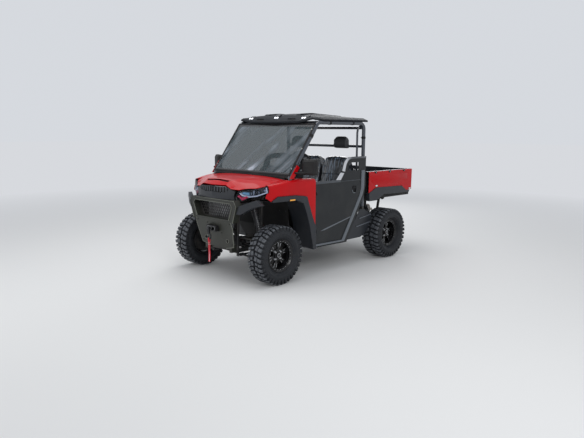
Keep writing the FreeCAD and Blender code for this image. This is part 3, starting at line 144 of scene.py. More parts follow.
class Finish:
    """A finish being mixed: its material, its surface shader and the nodes that vary it."""

    def __init__(self, name, colour, rough, sockets=None):
        self.material = bpy.data.materials.new(name)
        self.material.use_nodes = True
        self.tree = self.material.node_tree
        self.surface = self.tree.nodes["Principled BSDF"]
        self.colour = (*colour, 1.0)
        self.set({"Base Color": self.colour, "Roughness": rough})
        self.set(sockets or {})
        self.place = self.add("ShaderNodeTexCoord", output="Object")

    def set(self, sockets):
        """Gives the surface shader a value or a link for each named socket."""
        for key, value in sockets.items():
            self.fill(self.surface.inputs[key], value)

    def fill(self, socket, value):
        if isinstance(value, Link):
            self.tree.links.new(value.socket, socket)
        else:
            socket.default_value = value

    def add(self, kind, settings=None, inputs=None, output=0):
        """A node of that kind, with its settings first, then its inputs."""
        node = self.tree.nodes.new(kind)
        for key, value in (settings or {}).items():
            if key == "stops":
                for stop, (spot, shade) in zip(node.color_ramp.elements, value):
                    stop.position = spot
                    stop.color = (shade, shade, shade, 1)
            else:
                setattr(node, key, value)
        for key, value in (inputs or {}).items():
            self.fill(node.inputs[key], value)
        return Link(self, node.outputs[output])

    def noise(self, scale, detail=3.0, stretch=None, rough=0.5):
        """Cloudy variation, from 0 to 1, with features of about 1 / scale metres."""
        place = self.place
        if stretch:
            place = self.add("ShaderNodeMapping", None, {"Vector": place, "Scale": stretch})
        return self.add("ShaderNodeTexNoise", None,
                        {"Vector": place, "Scale": scale, "Detail": detail, "Roughness": rough})

    def ramp(self, value, low, high):
        """0 below low, 1 above high, and a straight line between."""
        return self.add("ShaderNodeMapRange", None, {"Value": value, "From Min": low, "From Max": high})

    def mix(self, share, first, second):
        """The first colour where share is 0, the second where it is 1."""
        return self.add("ShaderNodeMix", {"data_type": "RGBA"},
                        {0: share, 6: first, 7: second}, output=2)

    def bump(self, height, depth):
        """Tiny relief of that depth in metres, from a height that runs from 0 to 1."""
        relief = self.add("ShaderNodeBump", None, {"Height": height, "Distance": depth, "Strength": 1.0})
        self.set({"Normal": relief})

    def axis(self, letter):
        """One of the place's coordinates, in metres."""
        return self.add("ShaderNodeSeparateXYZ", None, {"Vector": self.place}, output="XYZ".index(letter))


METAL = {"Metallic": 1.0}


def varied(name, colour, rough, low, spread, cloud, sockets=None):
    """A finish whose roughness goes from low up by the spread, in clouds of that noise."""
    paint = Finish(name, colour, rough, sockets)
    paint.set({"Roughness": low + spread * paint.noise(*cloud)})
    return paint


# A pale floor, which fades into the background's haze between 4 and 11 metres away
floor_paint = varied("pale_floor", (0.84, 0.84, 0.83), 0.9, 0.85, 0.1, (3.0,))
# The light path node's first, sixth and fourth outputs
camera_ray, reflected_ray, glossy_ray = (floor_paint.add("ShaderNodeLightPath", output=place)
                                         for place in (0, 5, 3))
seen = camera_ray.either(reflected_ray).either(glossy_ray)
afar = floor_paint.ramp((floor_paint.axis("X") ** 2.0 + floor_paint.axis("Y") ** 2.0) ** 0.5, 4.0, 11.0)
haze = floor_paint.add("ShaderNodeEmission", None, {"Color": (0.80, 0.82, 0.86, 1.0), "Strength": 0.85})
blend = floor_paint.add("ShaderNodeMixShader", None, {0: afar * seen})
floor_paint.tree.links.new(floor_paint.surface.outputs[0], blend.socket.node.inputs[1])
floor_paint.tree.links.new(haze.socket, blend.socket.node.inputs[2])
floor_paint.tree.links.new(blend.socket, floor_paint.tree.nodes["Material Output"].inputs["Surface"])
bpy.ops.mesh.primitive_plane_add(size=160)
floor = bpy.context.object
floor.name = "floor"
floor.data.materials.append(floor_paint.material)
floor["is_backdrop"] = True

SKY_LIGHT, SKY_SEEN = 0.6, 0.80
world = bpy.data.worlds.new("studio")
bpy.context.scene.world = world
world.use_nodes = True
sky = world.node_tree
background = sky.nodes["Background"].inputs
background["Color"].default_value = (0.84, 0.87, 0.92, 1)
background["Strength"].default_value = SKY_LIGHT
rays = sky.nodes.new("ShaderNodeLightPath").outputs
either = [sky.nodes.new("ShaderNodeMath") for _ in range(2)]
strength = sky.nodes.new("ShaderNodeMapRange")
strength.inputs["To Min"].default_value = SKY_LIGHT
strength.inputs["To Max"].default_value = SKY_SEEN
either[0].operation = either[1].operation = "MAXIMUM"
for source, target in ((rays["Is Camera Ray"], either[0].inputs[0]),
                       (rays["Is Glossy Ray"], either[0].inputs[1]),
                       (either[0].outputs[0], either[1].inputs[0]),
                       (rays["Is Transmission Ray"], either[1].inputs[1]),
                       (either[1].outputs[0], strength.inputs["Value"]),
                       (strength.outputs["Result"], background["Strength"])):
    sky.links.new(source, target)

# Edges steeper than this many degrees are shown sharp
SHARP_ANGLE = 32


# Frame: square main rails and round tube of welded steel in black powder coat, with the
# front tower, the bed carrier, the hitch receiver and a moulded plate below the cab.
def smooth_group():
    """Joins near vertices and shades by angle; for solids that stay as they are."""
    tree = bpy.data.node_groups.new("soft_shading", "GeometryNodeTree")
    tree.interface.new_socket("Mesh", in_out="INPUT", socket_type="NodeSocketGeometry")
    tree.interface.new_socket("Mesh", in_out="OUTPUT", socket_type="NodeSocketGeometry")
    kinds = ("NodeGroupInput", "GeometryNodeMergeByDistance", "GeometryNodeRemoveAttribute",
             "GeometryNodeSetShadeSmooth", "GeometryNodeSetShadeSmooth", "NodeGroupOutput")
    chain = [tree.nodes.new(kind) for kind in kinds]
    for before, after in zip(chain, chain[1:]):
        tree.links.new(before.outputs[0], after.inputs[0])
    chain[1].inputs["Distance"].default_value = 0.00002
    chain[2].inputs["Name"].default_value = "custom_normal"
    chain[4].domain = "EDGE"
    chain[4].inputs["Shade Smooth"].default_value = False
    angle = tree.nodes.new("GeometryNodeInputMeshEdgeAngle")
    steep = tree.nodes.new("FunctionNodeCompare")
    steep.inputs["B"].default_value = math.radians(SHARP_ANGLE)
    tree.links.new(angle.outputs["Unsigned Angle"], steep.inputs["A"])
    tree.links.new(steep.outputs[0], chain[4].inputs["Selection"])
    return tree


soft_shading = smooth_group()


def dress(node, finish, ease=0.0):
    """Gives a solid its finish, and rounds its hard edges by that many millimetres."""
    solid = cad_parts[node]
    solid.data.materials.clear()
    solid.data.materials.append(finish.material)
    shading = solid.modifiers.new("shading", "NODES")
    shading.node_group = soft_shading
    if ease:
        edges = solid.modifiers.new("edges", "BEVEL")
        edges.width = ease / 1000
        edges.segments = 2
        edges.limit_method = "ANGLE"
        edges.angle_limit = math.radians(SHARP_ANGLE)
        edges.harden_normals = False
    return solid


def powder_coat(name, colour, rough=0.42, dust=0.2):
    """Sprayed and baked powder: a fine orange peel, and dust where it was driven."""
    paint = Finish(name, colour, rough)
    cloud = paint.noise(6.0, 5.0)
    share = dust * paint.ramp(cloud, 0.42, 0.75)
    paint.set({"Base Color": paint.mix(share, (*colour, 1), (0.22, 0.20, 0.17, 1)),
               "Roughness": paint.ramp(cloud, -1.2, 2.2) * (2 * rough), "Specular IOR Level": 0.4})
    paint.bump(paint.noise(700.0, 2.0), 0.00012)
    return paint


frame_coat = powder_coat("frame_coat", (0.018, 0.018, 0.019), 0.5, 0.3)
for node in ("frame", "front_tower", "bed_carrier", "hitch_receiver"):
    dress(node, frame_coat, 1.5)


def moulded(name, colour, rough=0.5, grain=0.00018, dust=0.12):
    """Injection moulded plastic with a leather-like grain and a little dust."""
    paint = Finish(name, colour, rough)
    cells = paint.add("ShaderNodeTexVoronoi", None, {"Vector": paint.place, "Scale": 420.0})
    cloud = paint.noise(4.0, 5.0)
    share = dust * paint.ramp(cloud, 0.45, 0.8)
    paint.set({"Base Color": paint.mix(share, (*colour, 1), (0.20, 0.19, 0.17, 1)),
               "Roughness": (rough - 0.08) + 0.16 * cloud, "Specular IOR Level": 0.26})
    paint.bump(cells, grain)
    return paint


black_moulding = moulded("black_moulding", (0.010, 0.010, 0.011), 0.6)
dress("skid_plate", black_moulding, 1.5)


# Round pins, bolts, sheets and bars of the pieces that the solids leave out are drawn with
# these, in millimetres, and every new piece leaves through fit.
def rod(bm, start, end, radius, tip=None, sides=20):
    """A round bar or cone between two points."""
    start, end = Vector(start), Vector(end)
    turn = (end - start).to_track_quat("Z", "Y").to_matrix().to_4x4()
    place = Matrix.Translation((start + end) / 2) @ turn
    return bmesh.ops.create_cone(bm, cap_ends=True, segments=sides, radius1=radius,
                                 radius2=radius if tip is None else tip,
                                 depth=(end - start).length, matrix=place)["verts"]


def block(bm, low, high):
    """A box between two corners."""
    low, high = Vector(low), Vector(high)
    place = Matrix.Translation((low + high) / 2) @ Matrix.Diagonal((*(high - low), 1))
    return bmesh.ops.create_cube(bm, size=1, matrix=place)["verts"]


def only(kind, items):
    """The vertices, edges or faces among what an operator gave back."""
    return [item for item in items if isinstance(item, kind)]


def slab(bm, outline, far, near=(0, 0, 0)):
    """A plate of that outline, one corner list pushed from near to far (two offsets)."""
    corners = [bm.verts.new(Vector(point) + Vector(near)) for point in outline]
    face = bm.faces.new(corners)
    moved = only(bmesh.types.BMVert, bmesh.ops.extrude_face_region(bm, geom=[face])["geom"])
    bmesh.ops.translate(bm, verts=moved, vec=Vector(far) - Vector(near))
    return corners + moved


def side_plate(bm, outline, near, far):
    """A plate of that outline (x, z) that faces the vehicle's side, between two places across."""
    return slab(bm, [(x, 0, z) for x, z in outline], (0, far, 0), (0, near, 0))


def lathe(bm, profile, axis="Y", steps=72, centre=(0, 0, 0)):
    """A profile of (radius, place along the axis) turned right round the axis."""
    along = Vector([float(letter == axis) for letter in "XYZ"])
    out = Vector((0, 0, 1)) if axis != "Z" else Vector((1, 0, 0))
    centre = Vector(centre)
    points = [bm.verts.new(centre + along * place + out * radius) for radius, place in profile]
    edges = [bm.edges.new(pair) for pair in zip(points, points[1:] + points[:1])]
    bmesh.ops.spin(bm, geom=points + edges, cent=centre, axis=along, angle=math.tau, steps=steps,
                   use_merge=True)


def bent_tube(bm, points, radius, sides=10):
    """A round tube that runs through the points, its section turned at each of them."""
    points = [Vector(point) for point in points]
    rings = []
    for index, point in enumerate(points):
        before, after = points[max(index - 1, 0)], points[min(index + 1, len(points) - 1)]
        turn = (after - before).to_track_quat("Z", "Y").to_matrix().to_4x4()
        rings.append(bmesh.ops.create_circle(bm, segments=sides, radius=radius,
                                             matrix=Matrix.Translation(point) @ turn)["verts"])
    for ring, following in zip(rings, rings[1:]):
        bmesh.ops.bridge_loops(bm, edges=ring_edges(ring) + ring_edges(following))
    for ring in (rings[0], rings[-1]):
        bm.faces.new(ring)


def ring_edges(ring):
    """The edges that join the vertices of one ring, in their order."""
    inside = set(ring)
    return list(dict.fromkeys(edge for vert in ring for edge in vert.link_edges
                              if edge.other_vert(vert) in inside))


def soften(bm, width, steep=30, segments=2):
    """Rounds every edge of the mesh that is sharper than that angle."""
    sharp = [edge for edge in bm.edges if edge.calc_face_angle(0) > math.radians(steep)]
    bmesh.ops.bevel(bm, geom=sharp, offset=width, segments=segments, profile=0.5, affect="EDGES",
                    material=-1, clamp_overlap=True)


def everything(bm):
    """All the mesh's vertices, edges and faces, in one list."""
    return bm.verts[:] + bm.edges[:] + bm.faces[:]


def weld(bm, reach=0.01):
    """Joins vertices that lie together."""
    bmesh.ops.remove_doubles(bm, verts=bm.verts[:], dist=reach)


def move_all(bm, matrix):
    """Moves the whole drawing by a matrix."""
    bmesh.ops.transform(bm, matrix=matrix, verts=bm.verts[:])


def to_side(bm, sign):
    """Mirrors the drawing to the vehicle's right side where the sign is -1."""
    bmesh.ops.scale(bm, vec=(1, sign, 1), verts=bm.verts[:])


def on_both_sides(bm):
    """Adds the mesh's mirror image on the vehicle's other side."""
    copy = bmesh.ops.duplicate(bm, geom=everything(bm))["geom"]
    bmesh.ops.scale(bm, vec=(1, -1, 1), verts=only(bmesh.types.BMVert, copy))
    bmesh.ops.reverse_faces(bm, faces=only(bmesh.types.BMFace, copy))


def fit(name, bm, finishes, body="chassis", replaced=(), steep=SHARP_ANGLE):
    """Turns a drawing in millimetres into a piece in metres that rides on its body."""
    bmesh.ops.recalc_face_normals(bm, faces=bm.faces[:])
    bmesh.ops.scale(bm, vec=(0.001, 0.001, 0.001), verts=bm.verts[:])
    for face in bm.faces:
        face.smooth = True
    for edge in bm.edges:
        edge.smooth = edge.calc_face_angle(0) < math.radians(steep)
    mesh = bpy.data.meshes.new(name)
    bm.to_mesh(mesh)
    bm.free()
    item = bpy.data.objects.new(name, mesh)
    bpy.context.scene.collection.objects.link(item)
    for finish in finishes if isinstance(finishes, (list, tuple)) else [finishes]:
        mesh.materials.append(finish.material)
    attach(item, body)
    if replaced:
        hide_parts(*replaced)
    return item


def paint_new(bm, index, draw, *shape, **more):
    """Draws a shape, and gives its faces their own finish, by its place in the list."""
    before = set(bm.faces)
    draw(bm, *shape, **more)
    for face in bm.faces:
        if face not in before:
            face.material_index = index


# table: axle, its place along and half its track; side and its sign. The hubs' height.
front_x, rear_x = 1195, -955
AXLES = (("front", front_x, 710), ("rear", rear_x, 700))
SIDES = (("left", 1), ("right", -1))
HUB_Z = 343

# Bolt heads at both ends of the arms' pivots and on the hitch receiver
zinc = varied("zinc_bolts", (0.42, 0.41, 0.38), 0.38, 0.3, 0.25, (120.0,), METAL)
bm = bmesh.new()
for s in (-1, 1):
    for x in (front_x - 180, front_x + 160, rear_x - 160, rear_x + 160):
        for z in (290, 500):
            rod(bm, (x - 11, s * 240, z), (x + 11, s * 240, z), 13, sides=6)
    for z in (420, 384):
        rod(bm, (-1592, s * 31, z), (-1592, s * 36, z), 6, sides=6)
soften(bm, 0.8, 25, 1)
fit("frame_bolts", bm, zinc)


# Suspension: welded tube arms, coil-over shocks with ground rods and wound springs, cast
# uprights with brake calipers, and the steering rack. They turn on the pivots of the frame.
arm_coat = powder_coat("arm_coat", (0.022, 0.022, 0.023), 0.45, 0.35)
dress("suspension_arms", arm_coat, 1.2)


def casting(name, colour, rough=0.5):
    """Sand-cast metal: a coarse skin, darker where oil and dust have settled."""
    metal = Finish(name, colour, rough, {"Metallic": 0.85})
    patch = metal.noise(9.0, 6.0)
    dark = tuple(0.45 * part for part in colour)
    metal.set({"Base Color": metal.mix(metal.ramp(patch, 0.35, 0.7), (*dark, 1), (*colour, 1)),
               "Roughness": rough - 0.1 + 0.3 * patch})
    metal.bump(metal.noise(350.0, 4.0), 0.0004)
    return metal


cast_iron = casting("cast_iron", (0.10, 0.10, 0.105))
for node in ("knuckle_left", "knuckle_right", "rear_carriers"):
    dress(node, cast_iron, 1.5)

ground_steel = varied("ground_steel", (0.16, 0.16, 0.165), 0.3, 0.18, 0.25, (60.0, 4.0), METAL)
dress("steering_rack", ground_steel, 0.8)

shock_body = varied("shock_body", (0.03, 0.03, 0.033), 0.3, 0.22, 0.2, (30.0,))
spring_coat = varied("spring_coat", (0.03, 0.031, 0.036), 0.25, 0.2, 0.25, (25.0, 4.0),
                     {"Coat Weight": 0.5, "Coat Roughness": 0.1})
rubber = varied("soft_rubber", (0.012, 0.012, 0.013), 0.7, 0.55, 0.3, (40.0,))

# table: axle, side and height of the shock's top eye
for end, x, top_y, top_z in (("front", front_x, 316, 880), ("rear", rear_x, 345, 705)):
    foot, head = Vector((x, 470, 500)), Vector((x, top_y, top_z))
    length = (head - foot).length
    stand = Matrix.Translation(foot) @ (head - foot).to_track_quat("Z", "X").to_matrix().to_4x4()
    bm = bmesh.new()
    lathe(bm, [(0.1, 12), (9, 12), (9, length * 0.5), (0.1, length * 0.5)], "Z", 24)
    paint_new(bm, 1, lathe, [(0.1, length * 0.38), (25, length * 0.38), (26, length * 0.4),
                             (26, length - 22), (20, length - 14), (0.1, length - 14)], "Z", 32)
    paint_new(bm, 1, lathe, [(0.1, 14), (20, 14), (38, 22), (40, 28), (38, 31), (0.1, 31)], "Z", 32)
    paint_new(bm, 1, lathe, [(0.1, length - 46), (38, length - 46), (40, length - 42), (40, length - 34),
                             (26, length - 28), (0.1, length - 28)], "Z", 32)
    paint_new(bm, 2, lathe, [(0.1, 31), (15, 31), (17, 40), (15, 49), (18, 58), (14, 66), (0.1, 66)], "Z",
              24)
    move_all(bm, stand)
    for point in (foot, head):
        paint_new(bm, 1, rod, point - Vector((20, 0, 0)), point + Vector((20, 0, 0)), 15, sides=28)
        paint_new(bm, 0, rod, point - Vector((28, 0, 0)), point + Vector((28, 0, 0)), 7, sides=6)
    weld(bm)
    on_both_sides(bm)
    fit(f"shock_units_{end}", bm, [ground_steel, shock_body, rubber], "chassis", ["shocks"])
    bm = bmesh.new()
    ring = bmesh.ops.create_circle(bm, segments=10, radius=5.5,
                                   matrix=Matrix.Rotation(math.pi / 2, 4, "X"))["verts"]
    bmesh.ops.translate(bm, verts=ring, vec=(33, 0, 37))
    turns, rise = round((length - 84) / 26), length - 46 - 37 - 5.5
    bmesh.ops.spin(bm, geom=ring + ring_edges(ring), cent=(0, 0, 0), axis=(0, 0, 1),
                   dvec=(0, 0, rise / (turns * 20)), angle=math.tau * turns, steps=turns * 20)
    bmesh.ops.holes_fill(bm, edges=[edge for edge in bm.edges if edge.is_boundary], sides=12)
    move_all(bm, stand)
    on_both_sides(bm)
    fit(f"shock_springs_{end}", bm, spring_coat, "chassis", ["shocks"])

# Brake calipers on the uprights and splash shields behind the spokes: the front ones steer
def caliper(x, y):
    """A housing over the disc's front edge, and its round piston."""
    bm = bmesh.new()
    corners = [(40, 400), (96, 372), (112, 330), (100, 296), (62, 312), (40, 340)]
    side_plate(bm, [(x + along, z) for along, z in corners], y - 54, y - 20)
    rod(bm, (x + 76, y - 72, 336), (x + 76, y - 50, 336), 20)
    soften(bm, 4, 30, 2)
    return bm


def splash_shield(x, y):
    """A dished ring of sheet with eight rivets."""
    bm = bmesh.new()
    lathe(bm, [(44, -56), (60, -62), (148, -62), (158, -54), (160, -55), (149, -64.5), (59, -64.5),
               (44, -60)], "Y", 64)
    for k in range(8):
        turn = Matrix.Rotation(math.tau * k / 8, 4, "Y")
        rod(bm, turn @ Vector((0, -63, 78)), turn @ Vector((0, -58, 78)), 6, sides=12)
    bmesh.ops.translate(bm, vec=(x, y, HUB_Z), verts=bm.verts[:])
    return bm


for name, draw, finish, slot in (("brake_caliper", caliper, cast_iron, "cast_metal"),
                                 ("splash_shield", splash_shield, frame_coat, "frame_tube")):
    for end, x, y in AXLES:
        for side, sign in SIDES:
            bm = draw(x, y)
            to_side(bm, sign)
            fit(f"{name}_{end}_{side}", bm, finish,
                f"knuckle_{side}" if end == "front" else "chassis")

# Rubber bushes in the arms' inner eyes
bm = bmesh.new()
for x in (front_x, rear_x):
    for level, spread in ((290, 110), (500, 130)):
        for side in (-1, 1):
            rod(bm, (x + side * spread - 25, 240, level), (x + side * spread + 25, 240, level), 17,
                sides=28)
soften(bm, 1.5, 30, 1)
on_both_sides(bm)
fit("arm_bushes", bm, rubber)


# Drive line and engine: cast cases with ribs, folded rubber boots clamped on the half
# shafts, and a stainless silencer. They stand on the rails under the hood and the bed.
cast_alloy = casting("cast_alloy", (0.30, 0.30, 0.305), 0.42)
dress("drive_line", cast_iron, 2.0)
dress("engine", cast_alloy, 8.0)
pipe_steel = Finish("pipe_steel", (0.36, 0.33, 0.30), 0.35, METAL)
heat = pipe_steel.noise(7.0, 4.0)
pipe_steel.set({"Base Color": pipe_steel.mix(heat, (0.20, 0.17, 0.15, 1), (0.45, 0.42, 0.39, 1)),
                "Roughness": 0.25 + 0.3 * heat})
dress("silencer", pipe_steel, 3.0)

# Folded boots at both ends of each half shaft
bm = bmesh.new()
for x, end_y in ((front_x, 565), (rear_x, 555)):
    start, finish_at = Vector((x, 89, 415)), Vector((x, end_y, HUB_Z))
    way = (finish_at - start).normalized()
    for point, sign in ((start + way * 3, 1), (finish_at - way * 2, -1)):
        rows = [(0.1, 0), (37, 0), (40, 6), (34, 12), (39, 18), (31, 25), (36, 31), (27, 38), (31, 44),
                (22, 51), (25, 56), (18, 62), (14, 64), (0.1, 64)]
        before = set(bm.verts)
        lathe(bm, rows, "Z", 32)
        fresh = [vert for vert in bm.verts if vert not in before]
        place = Matrix.Translation(point) @ (way * sign).to_track_quat("Z", "X").to_matrix().to_4x4()
        bmesh.ops.transform(bm, matrix=place, verts=fresh)
weld(bm)
on_both_sides(bm)
fit("shaft_boots", bm, rubber)

# The engine's ribs, and the two round belt covers on its left side
engine_x = rear_x + 300
bm = bmesh.new()
for k in range(7):
    block(bm, (engine_x - 160 + 50 * k, -199, 440), (engine_x - 152 + 50 * k, 199, 690))
for z in (470, 560, 650):
    block(bm, (engine_x - 189, -185, z), (engine_x + 189, 185, z + 8))
for x, radius, tip in ((engine_x - 65, 105, 96), (engine_x + 110, 78, 70)):
    paint_new(bm, 1, rod, (x, 194, 560), (x, 236, 560), radius, tip, 48)
soften(bm, 2, 30, 2)
fit("engine_ribs", bm, [cast_alloy, black_moulding])


# Tyres: 27 inch mud tyres of moulded rubber on wide rims. The carcass carries two
# staggered rows of long lugs that lean against the axle, with short lugs between them.
tyre_rubber = Finish("tyre_rubber", (0.012, 0.014, 0.018), 0.62, {"Specular IOR Level": 0.4})
dirt = tyre_rubber.noise(7.0, 6.0)
across = tyre_rubber.ramp(tyre_rubber.noise(55.0, 5.0), 0.5, 0.8)
tyre_rubber.set({"Base Color": tyre_rubber.mix(0.35 * across * tyre_rubber.ramp(dirt, 0.35, 0.7),
                                               (0.012, 0.014, 0.018, 1), (0.11, 0.10, 0.085, 1)),
                 "Roughness": 0.5 + 0.3 * dirt})
tyre_rubber.bump(tyre_rubber.noise(500.0, 4.0), 0.0004)
# The lug tops are lighter and bluish: partly wear, partly a painted highlight of the sky on their faces
worn_tread_and_highlight = Finish("worn_tread_and_highlight", (0.055, 0.061, 0.072), 0.5)
scuffs_and_highlight = worn_tread_and_highlight.noise(90.0, 6.0)
worn_tread_and_highlight.set({"Base Color": worn_tread_and_highlight.mix(worn_tread_and_highlight.ramp(scuffs_and_highlight, 0.38, 0.66), (0.040, 0.045, 0.055, 1),
                                             (0.115, 0.122, 0.135, 1)),
                "Roughness": 0.36 + 0.3 * scuffs_and_highlight})
worn_tread_and_highlight.bump(scuffs_and_highlight, 0.0006)
crown, tread_floor, lugs = HUB_Z, 323, 18


def lug(bm, half, inner, outer, width, foot, lean, shift):
    """One block of tread, in the place of the lug under the axle, then turned round by shift."""
    low = tread_floor - 10
    if outer == 1:
        edge = half - 2
        line = [(0, inner * half, low), (0, edge - 6, foot), (0, edge, foot + 14), (0, edge, crown - 14),
                (0, 0.88 * half, crown - 1), (0, 0.6 * half, crown), (0, inner * half, crown)]
    else:
        line = [(0, inner * half, low), (0, outer * half, low), (0, outer * half, crown),
                (0, inner * half, crown)]
    made = slab(bm, line, (width / 2, 0, 0), (-width / 2, 0, 0))
    middle = Matrix.Translation((0, (0.06 + 0.88) / 2 * half, 0))
    bmesh.ops.transform(bm, verts=made, matrix=middle @ Matrix.Rotation(-lean, 4, "Z") @ middle.inverted())
    bmesh.ops.rotate(bm, verts=made, cent=(0, 0, 0), matrix=Matrix.Rotation(shift, 3, "Y"))
    return made


def tread(half):
    """The lugs of both rows right round the tyre, each with its edges eased."""
    bm = bmesh.new()
    pitch = math.tau / lugs
    for side in (-1, 1):
        before = set(bm.verts)
        start = math.pi + (pitch / 2 if side > 0 else 0)
        lean = math.radians(14)
        lug(bm, half, 0.50, 1, 40, 268, lean, start)
        lug(bm, half, 0.07, 0.44, 50, 0, lean, start)
        lug(bm, half, 0.58, 1, 33, 284, lean, start + pitch / 2)
        lug(bm, half, 0.14, 0.50, 28, 0, lean, start + pitch / 2)
        if side < 0:
            fresh = [vert for vert in bm.verts if vert not in before]
            bmesh.ops.scale(bm, vec=(1, -1, 1), verts=fresh)
    bmesh.ops.recalc_face_normals(bm, faces=bm.faces[:])
    top = [edge for edge in bm.edges if edge.calc_face_angle(0) > 0.5
           and max(vert.co.length for vert in edge.verts) > tread_floor + 2]
    bmesh.ops.bevel(bm, geom=top, offset=2.2, segments=1, profile=0.5, affect="EDGES", material=-1)
    bmesh.ops.spin(bm, geom=everything(bm), cent=(0, 0, 0), axis=(0, 1, 0),
                   angle=math.tau * (lugs - 1) / lugs, steps=lugs - 1, use_duplicate=True)
    for face in bm.faces:
        middle = face.calc_center_median()
        face.material_index = int(math.hypot(middle.x, middle.z) > crown - 9)
    return bm


# Half the widths, front and rear; the left wheels, then their mirror images
for (end, x, y), half in zip(AXLES, (114.5, 139.5)):
    shape = tread(half)
    wide = half > 120
    # table: radius, place across, from the bead over the shoulder and back
    wall = [(190.6, 74), (192, 83), (199, 90), (204, 106 if wide else 96), (208, 112 if wide else 99),
            (211, 112 if wide else 97), (224, half - 9), (226, half - 6.5), (230, half - 6.5),
            (232, half - 5.5), (248, half - 1.5), (250, half - 0.4), (256, half - 0.4), (258, half - 1.4),
            (274, half - 3), (288, half - 7), (302, half - 15), (314, half * 0.9 - 6),
            (tread_floor - 2, half * 0.78), (tread_floor, half * 0.6), (tread_floor + 0.5, half * 0.3)]
    rows = wall + [(radius, -place) for radius, place in reversed(wall)]
    lathe(shape, rows, "Y", 108)
    weld(shape, 0.02)
    for side, sign in SIDES:
        bm = shape.copy()
        to_side(bm, sign)
        bmesh.ops.translate(bm, vec=(x, sign * y, HUB_Z), verts=bm.verts[:])
        fit(f"tyre_{end}_{side}_tread", bm, [tyre_rubber, worn_tread_and_highlight],
            f"wheel_{end}_{side}", [f"tyre_{end}_{side}"], 38)
    shape.free()


# Rims: 14 inch cast alloy in gloss black, with machined accents, a ring clamped to the
# lip by small bolts, four wheel nuts and a cap. They turn on the spindles of the uprights.
rim_black = varied("rim_black", (0.008, 0.008, 0.009), 0.26, 0.2, 0.25, (20.0, 5.0),
                   {"Coat Weight": 0.25, "Coat Roughness": 0.08, "Specular IOR Level": 0.3})
machined = varied("machined_alloy", (0.55, 0.56, 0.58), 0.2, 0.14, 0.2, (400.0, 2.0, (1.0, 0.05, 1.0)),
                  METAL)
face = 28
for end, x, y in AXLES:
    for side, sign in SIDES:
        dress(f"rim_{end}_{side}", rim_black, 2.5)
        bm = bmesh.new()
        lathe(bm, [(157, 60), (171, 60), (173, 72), (171, 75), (158, 75), (156, 72)], "Y", 96)
        paint_new(bm, 0, lathe, [(0.1, face + 10), (34, face + 10), (34, face + 22), (30, face + 27),
                                 (12, face + 29), (0.1, face + 29)], "Y", 48)
        for k in range(24):
            turn = Matrix.Rotation(math.tau * k / 24, 4, "Y")
            paint_new(bm, 1, rod, turn @ Vector((0, 73, 164.5)), turn @ Vector((0, 79, 164.5)), 3.8,
                      sides=6)
        for k in range(4):
            turn = Matrix.Rotation(math.tau * (k + 0.5) / 4, 4, "Y")
            for height, radius, tip, sides in ((19, 10, 9, 6), (3, 14, 14, 20)):
                paint_new(bm, 1, rod, turn @ Vector((0, face - 2, 56)),
                          turn @ Vector((0, face + height, 56)), radius, tip, sides)
        for k in range(6):
            for off in (-8.5, 8.5):
                turn = Matrix.Rotation(math.tau * (k + 0.75) / 6 + math.radians(off), 4, "Y")
                line = [(-1.2, face - 1, 96), (1.2, face - 1, 96), (3.2, face - 1, 146),
                        (-3.2, face - 1, 146)]
                paint_new(bm, 1, slab, [turn @ Vector(point) for point in line], (0, 2.6, 0))
        paint_new(bm, 1, lathe, [(20, face + 27.5), (24, face + 27.5), (24, face + 30), (20, face + 30)],
                  "Y", 48)
        weld(bm)
        to_side(bm, sign)
        bmesh.ops.translate(bm, vec=(x, sign * y, HUB_Z), verts=bm.verts[:])
        fit(f"rim_{end}_{side}_trim", bm, [rim_black, machined], f"wheel_{end}_{side}")


# Hood, fenders and the covers at the foot of the windscreen: injection moulded panels,
# dyed and clear-coated red. They clip to the front tower and to the posts of the cage.
def gloss_coat(name, colour, deep, dust=0.06):
    """Body colour under clear coat, with faint ripples of the moulding and dust low down."""
    paint = Finish(name, colour, 0.36, {"Coat Weight": 0.4, "Coat Roughness": 0.06, "Coat IOR": 1.4,
                                        "Specular IOR Level": 0.08})
    cloud = paint.noise(3.0, 4.0)
    tone = paint.mix(cloud, (*deep, 1), (*colour, 1))
    low = paint.ramp(paint.axis("Z"), 1.0, 0.55) * paint.ramp(paint.noise(14.0, 6.0), 0.35, 0.75)
    paint.set({"Base Color": paint.mix(dust * 2.0 * low, tone, (0.30, 0.24, 0.20, 1)),
               "Roughness": 0.26 + 0.14 * cloud + 0.3 * low})
    paint.bump(paint.noise(16.0, 2.0), 0.0009)
    return paint


red_paint = gloss_coat("red_paint", (0.60, 0.002, 0.006), (0.42, 0.001, 0.004))
for node in ("hood", "fenders", "pillar_covers"):
    dress(node, red_paint, 3.0)

# Insert in the hood's slot, with its ribs
bm = bmesh.new()
for k in range(-6, 7):
    block(bm, (1432, 31 * k - 3, 1146), (1474, 31 * k + 3, 1176))
slab(bm, [(1430, -226, 1158), (1430, 226, 1158), (1476, 198, 1142), (1476, -198, 1142)], (0, 0, -4))
soften(bm, 1, 30, 1)
fit("hood_slot_insert", bm, black_moulding)

# Seal and cowl between the hood and the foot of the windscreen
bm = bmesh.new()
side_plate(bm, [(974, 1196), (996, 1204), (1003, 1196), (1003, 1180), (974, 1180)], -640, 640)
side_plate(bm, [(968, 1204), (986, 1208), (980, 1236), (966, 1244)], -640, 640)
soften(bm, 2, 30, 2)
fit("cowl_seal", bm, black_moulding)


# Arch flares, fascia and the wings under the lamps: charcoal plastic, moulded in colour
# with a fine grain, that turns bluish in the light. Screws hold them behind the red panels.
def charcoal(name, colour, rough=0.38, coat=0.25):
    """Dark plastic, moulded in colour, with a soft sheen over a fine grain."""
    paint = moulded(name, colour, rough, 0.00010, 0.07)
    paint.set({"Coat Weight": coat, "Coat Roughness": 0.22})
    return paint


dark_panel = charcoal("dark_panel", (0.020, 0.023, 0.029))
for node in ("front_flares", "fascia", "bed_flares", "rear_side_panels"):
    dress(node, dark_panel, 2.5)
dress("bumper_wings", dark_panel, 4.0)

